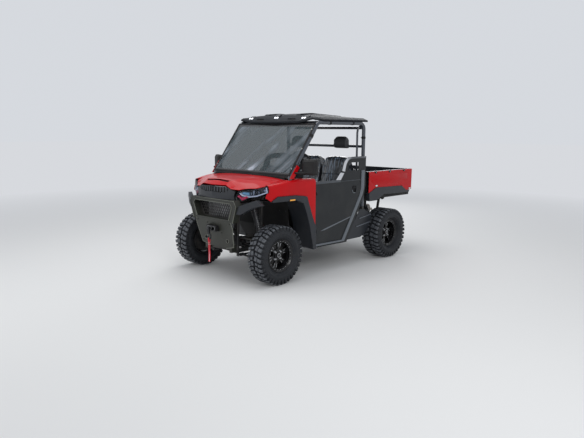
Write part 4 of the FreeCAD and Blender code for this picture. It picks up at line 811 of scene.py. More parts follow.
# Grille set in the fascia: a black plate with eleven lighter ribs, slightly dished
slot_black = moulded("slot_black", (0.004, 0.004, 0.005), 0.6, 0.0001, 0.03)
rib_grey = moulded("rib_grey", (0.075, 0.082, 0.094), 0.45, 0.0001, 0.1)
bm = bmesh.new()
slab(bm, [(1555.5, 0, 1055), (1531.5, 240, 1057), (1530, 262, 1072), (1530, 258, 1100), (1555.5, 0, 1111)],
     (1.2, 0, 0), (-6, 0, 0))
for k in range(6):
    y = 48 * k
    front = 1555.5 - 24 * y / 240
    low, top = 1055 + 2 * y / 240, 1111 - 11 * y / 258
    corners = [(0, y - 8, low - 3), (0, y + 6, low - 3), (0, y + 5, (low + top) / 2), (0, y + 8, top + 1),
               (0, y - 5, top + 1), (0, y - 9, (low + top) / 2)]
    paint_new(bm, 1, slab, corners, (front + 4.5, 0, 0), (front - 4, 0, 0))
slab(bm, [(1556, 0, 1052), (1532, 244, 1054), (1532, 244, 1058), (1556, 0, 1056)], (4, 0, 0), (-2, 0, 0))
soften(bm, 1.5, 30, 2)
on_both_sides(bm)
fit("fascia_grille", bm, [slot_black, rib_grey])

# Ribbed plate behind the fascia's slots
bm = bmesh.new()
block(bm, (1492, -262, 1036), (1496, 262, 1106))
for k in range(-8, 9):
    block(bm, (1495, 33 * k - 17, 1040), (1512, 33 * k - 14, 1100))
soften(bm, 0.8, 30, 1)
fit("fascia_backing", bm, black_moulding)

# Amber side markers on the flares, each a ribbed lens in a dark seat
amber = Finish("amber_lens", (0.75, 0.33, 0.02), 0.15, {"Coat Weight": 1.0, "Coat Roughness": 0.03,
                                                      "Emission Strength": 0.25})
amber.set({"Roughness": 0.12 + 0.2 * amber.noise(200.0, 2.0, (1.0, 1.0, 0.1)),
           "Emission Color": amber.mix(amber.noise(150.0), (0.6, 0.2, 0.0, 1), (0.9, 0.45, 0.05, 1))})
bm = bmesh.new()
side_plate(bm, [(930, 984), (1036, 984), (1030, 1008), (936, 1008)], 756, 774)
paint_new(bm, 1, side_plate, [(938, 988), (1028, 988), (1023, 1004), (942, 1004)], 770, 777)
soften(bm, 1.5, 30, 2)
move_all(bm, Matrix.Translation((0, 0, -30)))
on_both_sides(bm)
fit("side_markers", bm, [black_moulding, amber])


# Headlights: a dark moulded bowl under a clear polycarbonate cover, with three reflectors,
# a light guide along the lower edge, a blue lens at the inner corner and a red trim piece.
LAMP_FRONT = ((352, 1482), (440, 1462), (548, 1400), (697, 1287))


def lamp_depth(y):
    """Front of the lamp, as a place along the vehicle, at a distance from its middle."""
    for (y0, x0), (y1, x1) in zip(LAMP_FRONT, LAMP_FRONT[1:]):
        if y <= y1 or y1 == 697:
            return x0 + (x1 - x0) * (y - y0) / (y1 - y0)


def lamp_plate(bm, outline, back, front):
    """A plate of that outline (y, z) that follows the lamp's folded front, set back from it."""
    before = set(bm.verts)
    slab(bm, [(0, y, z) for y, z in outline], (-front, 0, 0), (-back, 0, 0))
    for y, _ in LAMP_FRONT[1:3]:
        made = [vert for vert in bm.verts if vert not in before]
        linked = dict.fromkeys(item for vert in made for item in (*vert.link_edges, *vert.link_faces))
        bmesh.ops.bisect_plane(bm, geom=made + list(linked), plane_co=(0, y, 0),
                               plane_no=(0, 1, 0))
    for vert in bm.verts:
        if vert not in before:
            vert.co.x += lamp_depth(vert.co.y)


LAMP_EDGE = [(352, 1014), (378, 1066), (545, 1098), (688, 1140), (698, 1066), (585, 1014), (505, 1002),
             (441, 960)]
middle = Vector((520, 1050))


def shrunk(outline, share):
    """The outline drawn in towards the lamp's middle."""
    return [tuple(middle + (Vector(point) - middle) * share) for point in outline]


lamp_bowl = varied("lamp_bowl", (0.006, 0.006, 0.008), 0.35, 0.2, 0.25, (60.0,))
lamp_chrome = varied("lamp_chrome", (0.20, 0.24, 0.32), 0.2, 0.06, 0.2, (80.0,), METAL)
light_guide = Finish("light_guide", (0.48, 0.55, 0.72), 0.3, {"Emission Strength": 0.12})
light_guide.set({"Emission Color": light_guide.mix(light_guide.noise(30.0), (0.55, 0.66, 1, 1),
                                                   (0.8, 0.86, 1, 1)),
                 "Roughness": 0.2 + 0.2 * light_guide.noise(50.0)})
blue_lens = Finish("blue_lens", (0.12, 0.30, 0.52), 0.15, {"Emission Strength": 0.10})
blue_lens.set({"Emission Color": blue_lens.mix(blue_lens.noise(40.0), (0.1, 0.4, 0.9, 1),
                                               (0.4, 0.75, 1, 1)),
               "Roughness": 0.1 + 0.2 * blue_lens.noise(60.0)})
cover = Finish("lamp_cover", (0.10, 0.12, 0.17), 0.04, {"Coat Weight": 0.3, "Coat Roughness": 0.02})
glint = cover.add("ShaderNodeFresnel", None, {"IOR": 1.45})
cover.set({"Alpha": 0.05 + 0.5 * glint, "Roughness": 0.03 + 0.05 * cover.noise(40.0)})
cover.material.surface_render_method = "BLENDED"
red_trim = gloss_coat("red_trim", (0.80, 0.06, 0.16), (0.60, 0.03, 0.10))
bm = bmesh.new()
lamp_plate(bm, shrunk(LAMP_EDGE, 0.985), 96, 46)
for lower, upper in (((378, 1066), (545, 1098)), ((545, 1098), (688, 1140)), ((585, 1014), (698, 1066)),
                     ((505, 1002), (585, 1014)), ((441, 960), (505, 1002)), ((352, 1014), (441, 960)),
                     ((352, 1014), (378, 1066)), ((688, 1140), (698, 1066))):
    inner = shrunk([lower, upper], 0.93)
    outer = shrunk([lower, upper], 0.985)
    lamp_plate(bm, [outer[0], outer[1], inner[1], inner[0]], 60, 3)
paint_new(bm, 1, lamp_plate, [(664, 1122), (676, 1124), (684, 1080), (672, 1074)], 16, 5)
paint_new(bm, 1, lamp_plate, [(396, 1046), (440, 1020), (510, 1008), (590, 1020), (686, 1064), (682, 1078),
                              (586, 1034), (512, 1022), (448, 1033), (404, 1056)], 16, 5)
paint_new(bm, 3, lamp_plate, [(366, 1012), (436, 970), (500, 1010), (480, 1022), (430, 1000), (386, 1028)],
          26, 4)
for y, z, radius in ((500, 1046, 21), (575, 1060, 23), (640, 1088, 15)):
    x = lamp_depth(y) - 44
    paint_new(bm, 2, lathe, [(radius, -4), (radius + 6, -4), (radius + 9, 16), (radius + 4, 20),
                             (radius, 12)], "X", 32, (x, y, z))
    paint_new(bm, 1 if radius < 20 else 0, lathe, [(0.1, -2), (radius - 1, -2), (radius - 1, 4),
                                                   (radius * 0.6, 12), (0.1, 15)], "X", 32, (x, y, z))
paint_new(bm, 4, lamp_plate, [(412, 1054), (452, 1036), (500, 1028), (488, 1062), (440, 1066)], 40, 20)
paint_new(bm, 2, lamp_plate, [(530, 1082), (552, 1087), (540, 1024), (530, 1022)], 42, 30)
weld(bm)
on_both_sides(bm)
fit("headlight_units", bm, [lamp_bowl, light_guide, lamp_chrome, red_trim, blue_lens],
    "chassis", ["headlights"])
bm = bmesh.new()
lamp_plate(bm, LAMP_EDGE, 3, 0.2)
soften(bm, 1.2, 50, 2)
on_both_sides(bm)
fit("headlight_covers", bm, cover, "chassis", ["headlights"])


# Front bumper: folded steel plate in an olive-grey powder coat, welded in one piece with
# its returned edges, over a black punched mesh. It is bolted to the frame's front corners.
bumper_steel = powder_coat("bumper_steel", (0.027, 0.029, 0.023), 0.42, 0.06)
# The returned edges' pale coat is a painted highlight, with a little dust
bumper_edge_highlight = powder_coat("bumper_edge_highlight", (0.17, 0.178, 0.150), 0.36, 0.05)
mesh_black = powder_coat("mesh_black", (0.012, 0.012, 0.013), 0.5, 0.15)
dress("bumper", bumper_steel, 3.0)
dress("grille_mesh", mesh_black, 1.0)


def band(bm, points, width, near, far, closed=False):
    """A mitred strip along points in one plane (the first axis is its normal), to their left."""
    count = len(points)
    inner = []
    for index, point in enumerate(points):
        before = points[index - 1] if closed or index else points[index]
        after = points[(index + 1) % count] if closed or index < count - 1 else points[index]
        ways = [(Vector(b) - Vector(a)).normalized() for a, b in ((before, point),
                                                                    (point, after)) if a != b]
        sides = [Vector((-way.y, way.x)) for way in ways]
        mitre = sum(sides, Vector((0, 0))).normalized()
        inner.append(Vector(point) + mitre * width / max(0.35, mitre.dot(sides[0])))
    pairs = list(zip(points, points[1:], inner, inner[1:]))
    if closed:
        pairs.append((points[-1], points[0], inner[-1], inner[0]))
    for first, second, inner_first, inner_second in pairs:
        slab(bm, [(0, *first), (0, *second), (0, *inner_second), (0, *inner_first)], far, near)
    weld(bm)


# Returned edges round the upper opening and the outside, in a pale coat that is a painted highlight of the
# light they catch
bm = bmesh.new()
ring_outer = [(0, 968), (400, 968), (440, 905), (372, 705)]
ring_inner = [(0, 926), (332, 926), (360, 890), (300, 735)]
band(bm, ring_inner, 7, (1546, 0, 0), (1560, 0, 0))
band(bm, list(reversed(ring_outer)), 6, (1545, 0, 0), (1559.5, 0, 0))
on_both_sides(bm)
weld(bm, 0.05)
soften(bm, 1.5, 40, 2)
fit("bumper_returns", bm, bumper_edge_highlight)


def plate_front(z):
    """Face of the winch plate, which leans back towards its lower edge."""
    return 1550.5 - 80 * (712 - z) / 340


# Rounded edges of the winch plate and the rim of its hole, in the pale painted-highlight coat, and its
# bolts
bm = bmesh.new()
corners = [(150, 372), (300, 404), (345, 640), (330, 712)]
for (y0, z0), (y1, z1) in zip(corners, corners[1:]):
    rod(bm, (plate_front(z0) - 3, y0 - 3, z0), (plate_front(z1) - 3, y1 - 3, z1), 4.5, sides=12)
lathe(bm, [(20, 0), (26, 0), (26, 4), (24, 6), (20, 6)], "X", 40, (plate_front(470) - 1, 205, 470))
for y, z in ((120, 560), (120, 664), (300, 690), (270, 430)):
    paint_new(bm, 1, rod, (plate_front(z) - 2, y, z), (plate_front(z) + 6, y, z), 9, sides=6)
on_both_sides(bm)
soften(bm, 1, 35, 1)
fit("plate_edges", bm, [bumper_edge_highlight, bumper_steel])


# Shroud round the radiator, which closes the bay behind the mesh
bm = bmesh.new()
for side in (-1, 1):
    slab(bm, [(1432, side * 222, 700), (1452, side * 360, 722), (1452, side * 372, 930),
              (1432, side * 222, 930)], (-4, 0, 0))
    for k in range(5):
        z = 744 + 38 * k
        slab(bm, [(1440, side * 240, z), (1457, side * 352, z), (1457, side * 352, z + 6),
                  (1440, side * 240, z + 6)], (4, 0, 0))
for low, high in ((918, 934), (684, 694)):
    block(bm, (1428, -226, low), (1462, 226, high))
soften(bm, 1, 30, 1)
fit("radiator_shroud", bm, black_moulding)


# Winch behind the plate: a cast gear case and motor, with a dark roller ring in front, a
# forged hook and a red pull strap of woven webbing sewn round the hook's pin.
dress("winch", cast_iron, 2.0)
dress("fairlead", black_moulding, 3.0)
dress("radiator", cast_alloy, 1.0)
hook_black = casting("hook_black", (0.055, 0.056, 0.06), 0.38)
dress("winch_hook", hook_black, 1.5)

# The radiator's fins and tubes
bm = bmesh.new()
for k in range(46):
    block(bm, (1391.5, -222 + 9.7 * k, 696), (1396, -220.5 + 9.7 * k, 914))
for z in range(704, 910, 12):
    block(bm, (1393, -224, z), (1397.5, 224, z + 3.2))
fit("radiator_fins", bm, cast_alloy)

webbing = Finish("strap_webbing", (0.62, 0.012, 0.030), 0.75)
rib = webbing.add("ShaderNodeTexWave", {"wave_type": "BANDS", "bands_direction": "Z"},
                  {"Vector": webbing.place, "Scale": 90.0, "Distortion": 0.6})
twill = webbing.add("ShaderNodeTexWave", {"wave_type": "BANDS", "bands_direction": "Y"},
                    {"Vector": webbing.place, "Scale": 220.0})
weave = rib * 0.5 + twill * 0.5
# Painted highlight: a pale pinkish stripe down the middle of the strap, stronger towards its lower end
pale = webbing.ramp(webbing.axis("Z"), 0.42, 0.26) * webbing.ramp(webbing.noise(9.0, 3.0), 0.25, 0.6)
highlight_stripe = ((webbing.axis("Y") - 0.006).size() < 0.0055) * pale
webbing.set({"Base Color": webbing.mix(0.85 * highlight_stripe, webbing.mix(weave, (0.36, 0.004, 0.012, 1),
                                                                  (0.72, 0.016, 0.040, 1)),
                                       (0.9, 0.72, 0.74, 1)), "Roughness": 0.6 + 0.25 * weave})
webbing.bump(weave, 0.0006)
strap_thread = varied("strap_thread", (0.75, 0.70, 0.66), 0.6, 0.5, 0.3, (300.0,))
STRAP_X, STRAP_Y, STRAP_HALF = 1611.0, 6, 17.5
bm = bmesh.new()
# table: the loop's line, ahead of the hook's middle and height, once round
loop = [(0, 209.5), (3.2, 211.5), (4.0, 216), (2.6, 235), (2.4, 300), (3.6, 360), (2.6, 425), (4.5, 452),
        (9.0, 473), (11.2, 490), (8.0, 498.5), (0, 501.5), (-8.0, 498.5), (-11.2, 490), (-9.0, 473),
        (-4.5, 452), (-2.6, 425), (-1.2, 360), (-2.4, 300), (-2.6, 235), (-4.0, 216), (-3.2, 211.5)]
first = [bm.verts.new((STRAP_X + dx, STRAP_Y - STRAP_HALF, z)) for dx, z in loop]
edges = [bm.edges.new(pair) for pair in zip(first, first[1:] + first[:1])]
for _ in range(8):
    made = bmesh.ops.extrude_edge_only(bm, edges=edges)["geom"]
    bmesh.ops.translate(bm, verts=only(bmesh.types.BMVert, made), vec=(0, STRAP_HALF / 4, 0))
    edges = only(bmesh.types.BMEdge, made)
bmesh.ops.recalc_face_normals(bm, faces=bm.faces[:])
for vert in bm.verts:
    gather = min(1, max(0, (vert.co.z - 455) / 36))
    vert.co.y = STRAP_Y + (vert.co.y - STRAP_Y) * (1 - 0.42 * gather * gather * (3 - 2 * gather))
    vert.co.y += 2.2 * math.sin(vert.co.z / 41)
    edge = ((vert.co.y - STRAP_Y) / STRAP_HALF) ** 2
    vert.co.x += 0.8 * edge * math.sin(vert.co.z / 26)
bmesh.ops.solidify(bm, geom=bm.faces[:], thickness=2.6)
strap = fit("pull_strap", bm, webbing, "chassis", ["winch_strap"], 60)

# The seam that closes the loop: two rows of stitches and a cross between them
bm = bmesh.new()
for z in (418, 446):
    for k in range(-4, 5):
        block(bm, (STRAP_X - 6.4, STRAP_Y + 3.1 * k - 1, z - 0.5),
              (STRAP_X + 6.6, STRAP_Y + 3.1 * k + 1, z + 0.5))
for k in range(9):
    for side in (-1, 1):
        y = STRAP_Y + side * (12.4 - 3.1 * k)
        block(bm, (STRAP_X - 6.4, y - 0.9, 418 + 3.5 * k), (STRAP_X + 6.8, y + 0.9, 419.6 + 3.5 * k))
fit("strap_stitches", bm, strap_thread)

# Roller ring round the fairlead's throat, and the hook's latch with its pins
bm = bmesh.new()
throat = [(32 + 23 * math.cos(a) + (18 if math.cos(a) > 0 else -18), 612 + 23 * math.sin(a))
          for a in [math.tau * (k + 0.5) / 28 for k in range(28)]]
for turned in (-1, 1):
    points = [Vector((1579, turned * y, z)) for y, z in throat]
    bent_tube(bm, points + points[:1], 6.5, 10)
fit("fairlead_ring", bm, ground_steel)
bm = bmesh.new()
slab(bm, [(STRAP_X - 4, -22, 506), (STRAP_X - 4, -18, 500), (STRAP_X - 4, -14, 552),
          (STRAP_X - 4, -19, 556)], (8, 0, 0))
rod(bm, (STRAP_X - 8, -15, 553), (STRAP_X + 8, -15, 553), 4.5, sides=16)
rod(bm, (STRAP_X - 8.8, 0, 606), (STRAP_X + 8.8, 0, 606), 8, sides=20)
soften(bm, 0.8, 35, 1)
fit("hook_latch", bm, zinc)


# Cage: bent round tube in a dark powder coat, one long piece each side with welded cross
# bars. The roof and the windscreen are clamped to it, and padded rests hang from one bar.
# The coat's blue-grey is lighter than the tubes' own dark navy: partly a painted highlight of the sky along
# them
cage_coat_and_highlight = powder_coat("cage_coat_and_highlight", (0.030, 0.038, 0.054), 0.26, 0.03)
cage_coat_and_highlight.set({"Coat Weight": 1.0, "Coat Roughness": 0.06})
for node in ("cage_side_left", "cage_side_right", "cage_crossbars"):
    dress(node, cage_coat_and_highlight)

# Second, thinner post beside the rear one with its foot, and clamps on the tubes
bm = bmesh.new()
bent_tube(bm, [(-372, 640, 1238), (-372, 640, 1300), (-372, 640, 1740), (-378, 644, 1790),
               (-398, 656, 1822), (-430, 668, 1834)], 14, 14)
rod(bm, (-430, 640, 1235), (-372, 640, 1238), 14)
soften(bm, 1, 60, 1)
on_both_sides(bm)
fit("cage_inner_posts", bm, cage_coat_and_highlight)
bm = bmesh.new()
for start, end in (((-430, 700, 1000), (-430, 700, 1030)), ((-430, 700, 1660), (-430, 700, 1690)),
                   ((-200, 700, 1862), (-170, 700, 1862)), ((250, 700, 1862), (280, 700, 1862)),
                   ((588, 700, 1713), (612, 700, 1680)), ((850, 700, 1360), (872, 700, 1331))):
    rod(bm, start, end, 28, sides=32)
    point = (Vector(start) + Vector(end)) / 2
    rod(bm, point - Vector((0, 44, 0)), point + Vector((0, -20, 0)), 5, sides=6)
soften(bm, 1, 35, 1)
on_both_sides(bm)
fit("cage_clamps", bm, black_moulding, steep=35)


# Roof: a thick twin-wall moulding in dark plastic, ribbed lengthwise, with two vents and
# three small white lamps in its visor. Six screws hold it to the clamps on the cage.
roof_plastic = charcoal("roof_plastic", (0.009, 0.011, 0.015), 0.5, 0.0)
roof_plastic.set({"Specular IOR Level": 0.16})
dress("roof", roof_plastic, 5.0)

# Two vents with seven ribs each
bm = bmesh.new()
for y in (-290, 290):
    for k in range(7):
        block(bm, (508, y - 58 + 18.2 * k, 1908), (526, y - 55 + 18.2 * k, 1914))
    slab(bm, [(505, y - 62, 1907), (505, y + 62, 1907), (532, y + 62, 1893), (532, y - 62, 1893)],
         (0, 0, -4))
fit("roof_vents", bm, black_moulding)

white_led = Finish("white_led", (0.85, 0.87, 0.9), 0.3, {"Emission Strength": 1.0})
white_led.set({"Emission Color": white_led.mix(white_led.noise(200.0), (0.75, 0.82, 0.95, 1), (1, 1, 1, 1)),
               "Roughness": 0.2 + 0.2 * white_led.noise(150.0)})
lamp_glass = varied("lamp_glass", (0.006, 0.007, 0.009), 0.12, 0.05, 0.1, (70.0,),
                    {"Coat Weight": 0.3, "Coat Roughness": 0.03})
dress("roof_lamps", lamp_glass, 2.0)
bm = bmesh.new()
for y, x, z in ((0, 501, 1924), (486, 503, 1917), (-486, 503, 1917)):
    for side in (-1, 1):
        place = Matrix.Translation((x, y + 20 * side, z)) @ Matrix.Rotation(math.radians(46), 4, "Y")
        rows = [(0.1, -6), (15, -6), (15, 2), (11, 5.4), (0.1, 7)]
        before = set(bm.verts)
        lathe(bm, rows, "Z", 24)
        bmesh.ops.transform(bm, matrix=place, verts=[vert for vert in bm.verts if vert not in before])
weld(bm)
fit("roof_lamp_leds", bm, white_led)

# Screws, three a side
bm = bmesh.new()
for x in (-400, 0, 360):
    z = 1930 + 0.02 * (x + 400) - 0.05 * max(0, x)
    rod(bm, (x, 560, z - 14), (x, 560, z + 5), 15, 12, 24)
    rod(bm, (x, 560, z + 2), (x, 560, z + 8), 7, sides=6)
on_both_sides(bm)
soften(bm, 1, 35, 1)
fit("roof_screws", bm, black_moulding, steep=35)


# Windscreen: one flat pane of hard-coated clear sheet with a black printed border, held
# by clamps round the cage. Slanting pale bluish streaks painted on it are reflections of the sky.
glass = Finish("windscreen_glass", (0.30, 0.36, 0.42), 0.03, {"Coat Weight": 1.0, "Coat Roughness": 0.02})
height = glass.axis("Z")
border = (glass.axis("Y").size() > 0.682).either(height < 1.272).either(height > 1.812)
slant = glass.add("ShaderNodeMapping", None, {"Vector": glass.place, "Rotation": (math.radians(38), 0, 0)})
bands = glass.add("ShaderNodeTexNoise", {"noise_dimensions": "3D"},
                  {"Vector": glass.add("ShaderNodeMapping", None,
                                       {"Vector": slant, "Scale": (1.0, 7.0, 0.7)}), "Scale": 1.0,
                   "Detail": 3.0})
# Painted sky reflection: slanting pale bluish bands in the pane's colour and opacity
reflection_streaks = glass.ramp(bands, 0.50, 0.72) * glass.ramp(glass.noise(2.2, 2.0), 0.36, 0.62)
gloss = glass.add("ShaderNodeFresnel", None, {"IOR": 1.5})
# Opacity: a little, more at grazing angles, and more in the painted reflection streaks
haze = 0.16 + 0.7 * gloss + 0.45 * reflection_streaks
glass.set({"Alpha": haze.either(border).at_most(1.0),
           "Base Color": glass.mix(border, glass.mix(reflection_streaks, (0.07, 0.10, 0.11, 1), (0.80, 0.87, 0.98, 1)),
                                  (0.008, 0.008, 0.010, 1)),
           "Roughness": 0.02 + 0.25 * reflection_streaks + 0.25 * border})
glass.material.surface_render_method = "BLENDED"
dress("windscreen", glass, 1.0)

slope = Vector((477 - 955, 0, 1862 - 1219)).normalized()
outward = Vector((-slope.z, 0, slope.x)) * -1


def on_screen(y, share, lift):
    """A point on the pane's outer face, from its foot (0) to its top (1)."""
    foot, top = Vector((973, 0, 1244)), Vector((527, 0, 1849))
    return foot.lerp(top, share) + Vector((0, y, 0)) + outward * lift


bm = bmesh.new()
# table: both sides, then foot and top of the seal: from and to across, from and to up
for y0, y1, s0, s1 in ((-708, -684, 0.0, 1.0), (684, 708, 0.0, 1.0), (-708, 708, -0.004, 0.026),
                       (-708, 708, 0.974, 1.004)):
    corners = [on_screen(y, share, -8) for y, share in ((y0, s0), (y1, s0), (y1, s1), (y0, s1))]
    slab(bm, corners, outward * 11)
soften(bm, 2, 40, 2)
for s in (-1, 1):
    for share in (0.12, 0.5, 0.88):
        point = on_screen(s * 696, share, 2)
        paint_new(bm, 1, rod, point, point + outward * 6, 8, sides=6)
fit("windscreen_seal", bm, [black_moulding, zinc])


# Mirrors: black moulded heads on bent steel stalks, clamped to the feet of the cage, with
# a silvered glass in a lip at the back.
dress("mirrors", black_moulding, 10.0)
silvered = varied("silvered_glass", (0.75, 0.78, 0.8), 0.03, 0.02, 0.05, (30.0,), METAL)
bm = bmesh.new()
line = [(-29.5, -78, -74), (-29.5, 76, -72), (-29.5, 86, -60), (-29.5, 84, 74), (-29.5, -76, 72),
        (-29.5, -86, 58)]
slab(bm, line, (-1.5, 0, 0))
paint_new(bm, 1, band, [(y, z) for _, y, z in line], 7, (-33, 0, 0), (-27, 0, 0), True)
soften(bm, 0.8, 40, 1)
bmesh.ops.rotate(bm, verts=bm.verts[:], cent=(0, 0, 0), matrix=Matrix.Rotation(math.radians(22), 3, "Z"))
bmesh.ops.translate(bm, verts=bm.verts[:], vec=(787, 854, 1339))
on_both_sides(bm)
fit("mirror_glass", bm, [silvered, black_moulding])


# Doors: a crowned skin of dark moulded plastic on an inner panel and a bent tube, hung on
# two pins. A grey rim runs along the lower and the rear edge; a bow over the shoulder is painted pale at
# the front, darker to the rear, as a highlight.
door_panel = charcoal("door_panel", (0.011, 0.013, 0.015), 0.44, 0.15)
rim_grey = charcoal("door_rim_grey", (0.125, 0.142, 0.162), 0.33, 0.35)
# Painted highlight: the bow is pale grey at its front and darkens towards the rear, for the light on its
# shoulder
bow_painted_highlight = charcoal("door_bow_highlight", (0.60, 0.615, 0.65), 0.30, 0.5)
fade = bow_painted_highlight.ramp(bow_painted_highlight.axis("X"), -0.13, -0.02)
bow_painted_highlight.set({"Base Color": bow_painted_highlight.mix(fade, (0.075, 0.080, 0.092, 1), (0.60, 0.615, 0.65, 1))})
belt_grey = charcoal("door_belt_grey", (0.062, 0.070, 0.082), 0.34, 0.35)
DOOR_EDGE = [(558, 332), (558, 511), (526, 511), (526, 549), (558, 549), (558, 981), (526, 981),
             (526, 1019), (558, 1019), (558, 1150), (172, 1146), (84, 1238), (47, 1262), (29, 1324),
             (14, 1360), (-4, 1386), (-40, 1414), (-91, 1429), (-200, 1434), (-448, 1434), (-448, 1060),
             (-414, 919), (-120, 400), (-70, 322)]
SHOULDER_HOLE = [(-296, 1250), (-72, 1254), (-76, 1318), (-88, 1342), (-112, 1355), (-140, 1358),
                 (-296, 1358)]
CUP_HOLE = [(-248, 1042), (-240, 1050), (-176, 1056), (-162, 1046), (-158, 1000), (-178, 962), (-222, 957),
            (-240, 972)]
DOOR_SKIN_Y = 738.0
CREASE_FROM, CREASE_TO = Vector((462, 0, 531)), Vector((-132, 0, 652))


def pierced_sheet(bm, edge, holes, depth):
    """A flat sheet of faces inside an outline (x, z), with openings in it."""
    edges = []
    for line in (edge, *holes):
        verts = [bm.verts.new((x, depth, z)) for x, z in line]
        edges += [bm.edges.new(pair) for pair in zip(verts, verts[1:] + verts[:1])]
    bmesh.ops.triangle_fill(bm, use_beauty=True, use_dissolve=False, edges=edges, normal=(0, 1, 0))


def cut_at(bm, point, normal):
    """Cuts every face where it crosses a plane."""
    bmesh.ops.bisect_plane(bm, geom=everything(bm), plane_co=point, plane_no=normal)


def thicken(bm, depth):
    """Pushes a copy of the sheet back, and closes the edges between them."""
    pushed = bmesh.ops.extrude_face_region(bm, geom=bm.faces[:])["geom"]
    bmesh.ops.translate(bm, verts=only(bmesh.types.BMVert, pushed), vec=(0, -depth, 0))


for side, sign in SIDES:
    door = f"door_{side}"
    bm = bmesh.new()
    pierced_sheet(bm, DOOR_EDGE, (SHOULDER_HOLE, CUP_HOLE), DOOR_SKIN_Y)
    for z in range(370, 1180, 45):
        cut_at(bm, (0, 0, z), (0, 0, 1))
    for x in (500, 420, 340, 220, 100, -20, -100):
        cut_at(bm, (x, 0, 0), (1, 0, 0))
    across_crease = Vector((CREASE_FROM.z - CREASE_TO.z, 0, CREASE_TO.x - CREASE_FROM.x)).normalized()
    cut_at(bm, CREASE_FROM, across_crease)
    cut_at(bm, CREASE_FROM - Vector((0, 0, 12)), across_crease)
    for vert in bm.verts:
        crown = 6.5 * max(0.0, 1 - ((vert.co.z - 740) / 400) ** 2)
        below = (vert.co - CREASE_FROM).dot(across_crease)
        share = min(1.0, max(0.0, (480 - vert.co.x) / 150))
        vert.co.y += crown - (5.0 * share if below > 10 else 0.0)
    thicken(bm, 9)
    bmesh.ops.recalc_face_normals(bm, faces=bm.faces[:])
    soften(bm, 2.2, 40, 2)
    to_side(bm, sign)
    fit(f"{door}_skin", bm, door_panel, door, [door])

    # Inner panel with its bin, the arm rest, the tube and the dish behind the handle
    bm = bmesh.new()
    pierced_sheet(bm, [(500, 400), (500, 1090), (-330, 1060), (-330, 890), (-60, 400)],
                  ([(430, 440), (430, 580), (-60, 580), (20, 440)],), 717)
    thicken(bm, 18)
    side_plate(bm, [(500, 400), (-60, 400), (-330, 890), (-330, 1060), (500, 1090)], 717.5, 730)
    side_plate(bm, [(330, 960), (-250, 960), (-250, 990), (300, 990)], 671, 700)
    side_plate(bm, CUP_HOLE, 724, 731)
    soften(bm, 3, 40, 2)
    bent_tube(bm, [(-376, 714, 1062), (-376, 714, 1370), (-364, 714, 1392), (-340, 714, 1398),
                   (-130, 714, 1398), (-78, 714, 1386), (-34, 714, 1352), (-12, 714, 1300),
                   (12, 714, 1240), (70, 714, 1180), (130, 714, 1092)], 10, 14)
    rod(bm, (-300, 699, 1022), (-300, 690, 1022), 13, sides=20)
    block(bm, (-330, 686, 1016), (-226, 692, 1028))
    for x, z in ((500, 420), (500, 1060), (-300, 900), (-60, 420)):
        rod(bm, (x, 699, z), (x, 695, z), 7, sides=12)
    to_side(bm, sign)
    fit(f"{door}_inner", bm, black_moulding, door, [door])

    # Grey rim, from the front of the lower edge up the rear edge, and the crease
    bm = bmesh.new()
    outer = [(558, 350), (-9, 345), (-377, 920), (-408, 1010), (-413, 1252)]
    inner = [(558, 375), (38, 367), (-317, 925), (-344, 1012), (-350, 1252)]
    side_plate(bm, outer + inner[::-1], 736, 750)
    side_plate(bm, [(462, 529), (392, 551), (-136, 658), (-134, 644), (372, 535)], 737, 747)
    soften(bm, 4.5, 30, 3)
    to_side(bm, sign)
    fit(f"{door}_rim", bm, rim_grey, door)

    # Bow over the shoulder, in two pieces that meet at a notch, and the rolled belt edge
    bm = bmesh.new()
    side_plate(bm, [(172, 1147), (80, 1240), (14, 1231), (80, 1143)], 734, 750)
    outer = [(52, 1258), (45, 1268), (29, 1324), (14, 1360), (-4, 1386), (-40, 1415), (-91, 1430),
             (-200, 1435), (-440, 1435)]
    inner = [(-3, 1247), (-6, 1270), (-18, 1315), (-33, 1350), (-52, 1372), (-76, 1393), (-107, 1404),
             (-200, 1408), (-440, 1408)]
    side_plate(bm, outer + inner[::-1], 734, 750)
    soften(bm, 6, 30, 3)
    to_side(bm, sign)
    fit(f"{door}_bow", bm, bow_painted_highlight, door)
    bm = bmesh.new()
    side_plate(bm, [(556, 1118), (556, 1151), (182, 1147), (92, 1136), (70, 1118)], 736, 747)
    side_plate(bm, [(60, 1123), (60, 1130), (-400, 1130), (-400, 1124)], 737, 742)
    soften(bm, 3, 30, 3)
    to_side(bm, sign)
    fit(f"{door}_belt", bm, belt_grey, door)

    # Handle: a lever in the dish, a grey lower lip, and the hinge pins with their nuts
    bm = bmesh.new()
    side_plate(bm, [(-243, 1038), (-170, 1046), (-167, 1022), (-236, 1018)], 730, 742)
    for z in (530, 1000):
        rod(bm, (548, 738, z - 21), (548, 738, z + 21), 5.8, sides=20)
        rod(bm, (548, 738, z + 19), (548, 738, z + 25), 9, sides=6)
    lip = [(-226, 955), (-177, 960), (-154, 1000), (-162, 1004), (-182, 970), (-224, 965)]
    paint_new(bm, 1, side_plate, lip, 737, 746)
    soften(bm, 1.5, 35, 2)
    to_side(bm, sign)
    fit(f"{door}_handle", bm, [black_moulding, rim_grey], door)


# Rear side panels between the doors and the rear wheels, in the same charcoal plastic; pale
# strips on two pressed creases are painted highlights of the light they catch.
# Painted highlight: pale strips along the two creases
crease_highlight = charcoal("crease_highlight", (0.16, 0.18, 0.21), 0.3, 0.4)
# swaps the first two axes
turned = Matrix(((0, 1, 0, 0), (1, 0, 0, 0), (0, 0, 1, 0), (0, 0, 0, 1)))
bm = bmesh.new()
for first, second in (((-652, 633), (-391, 598)), ((-624, 529), (-325, 492))):
    band(bm, [first, second], -8, (694, 0, 0), (697.6, 0, 0))
move_all(bm, turned)
soften(bm, 1.6, 35, 1)
on_both_sides(bm)
fit("side_panel_creases", bm, crease_highlight)


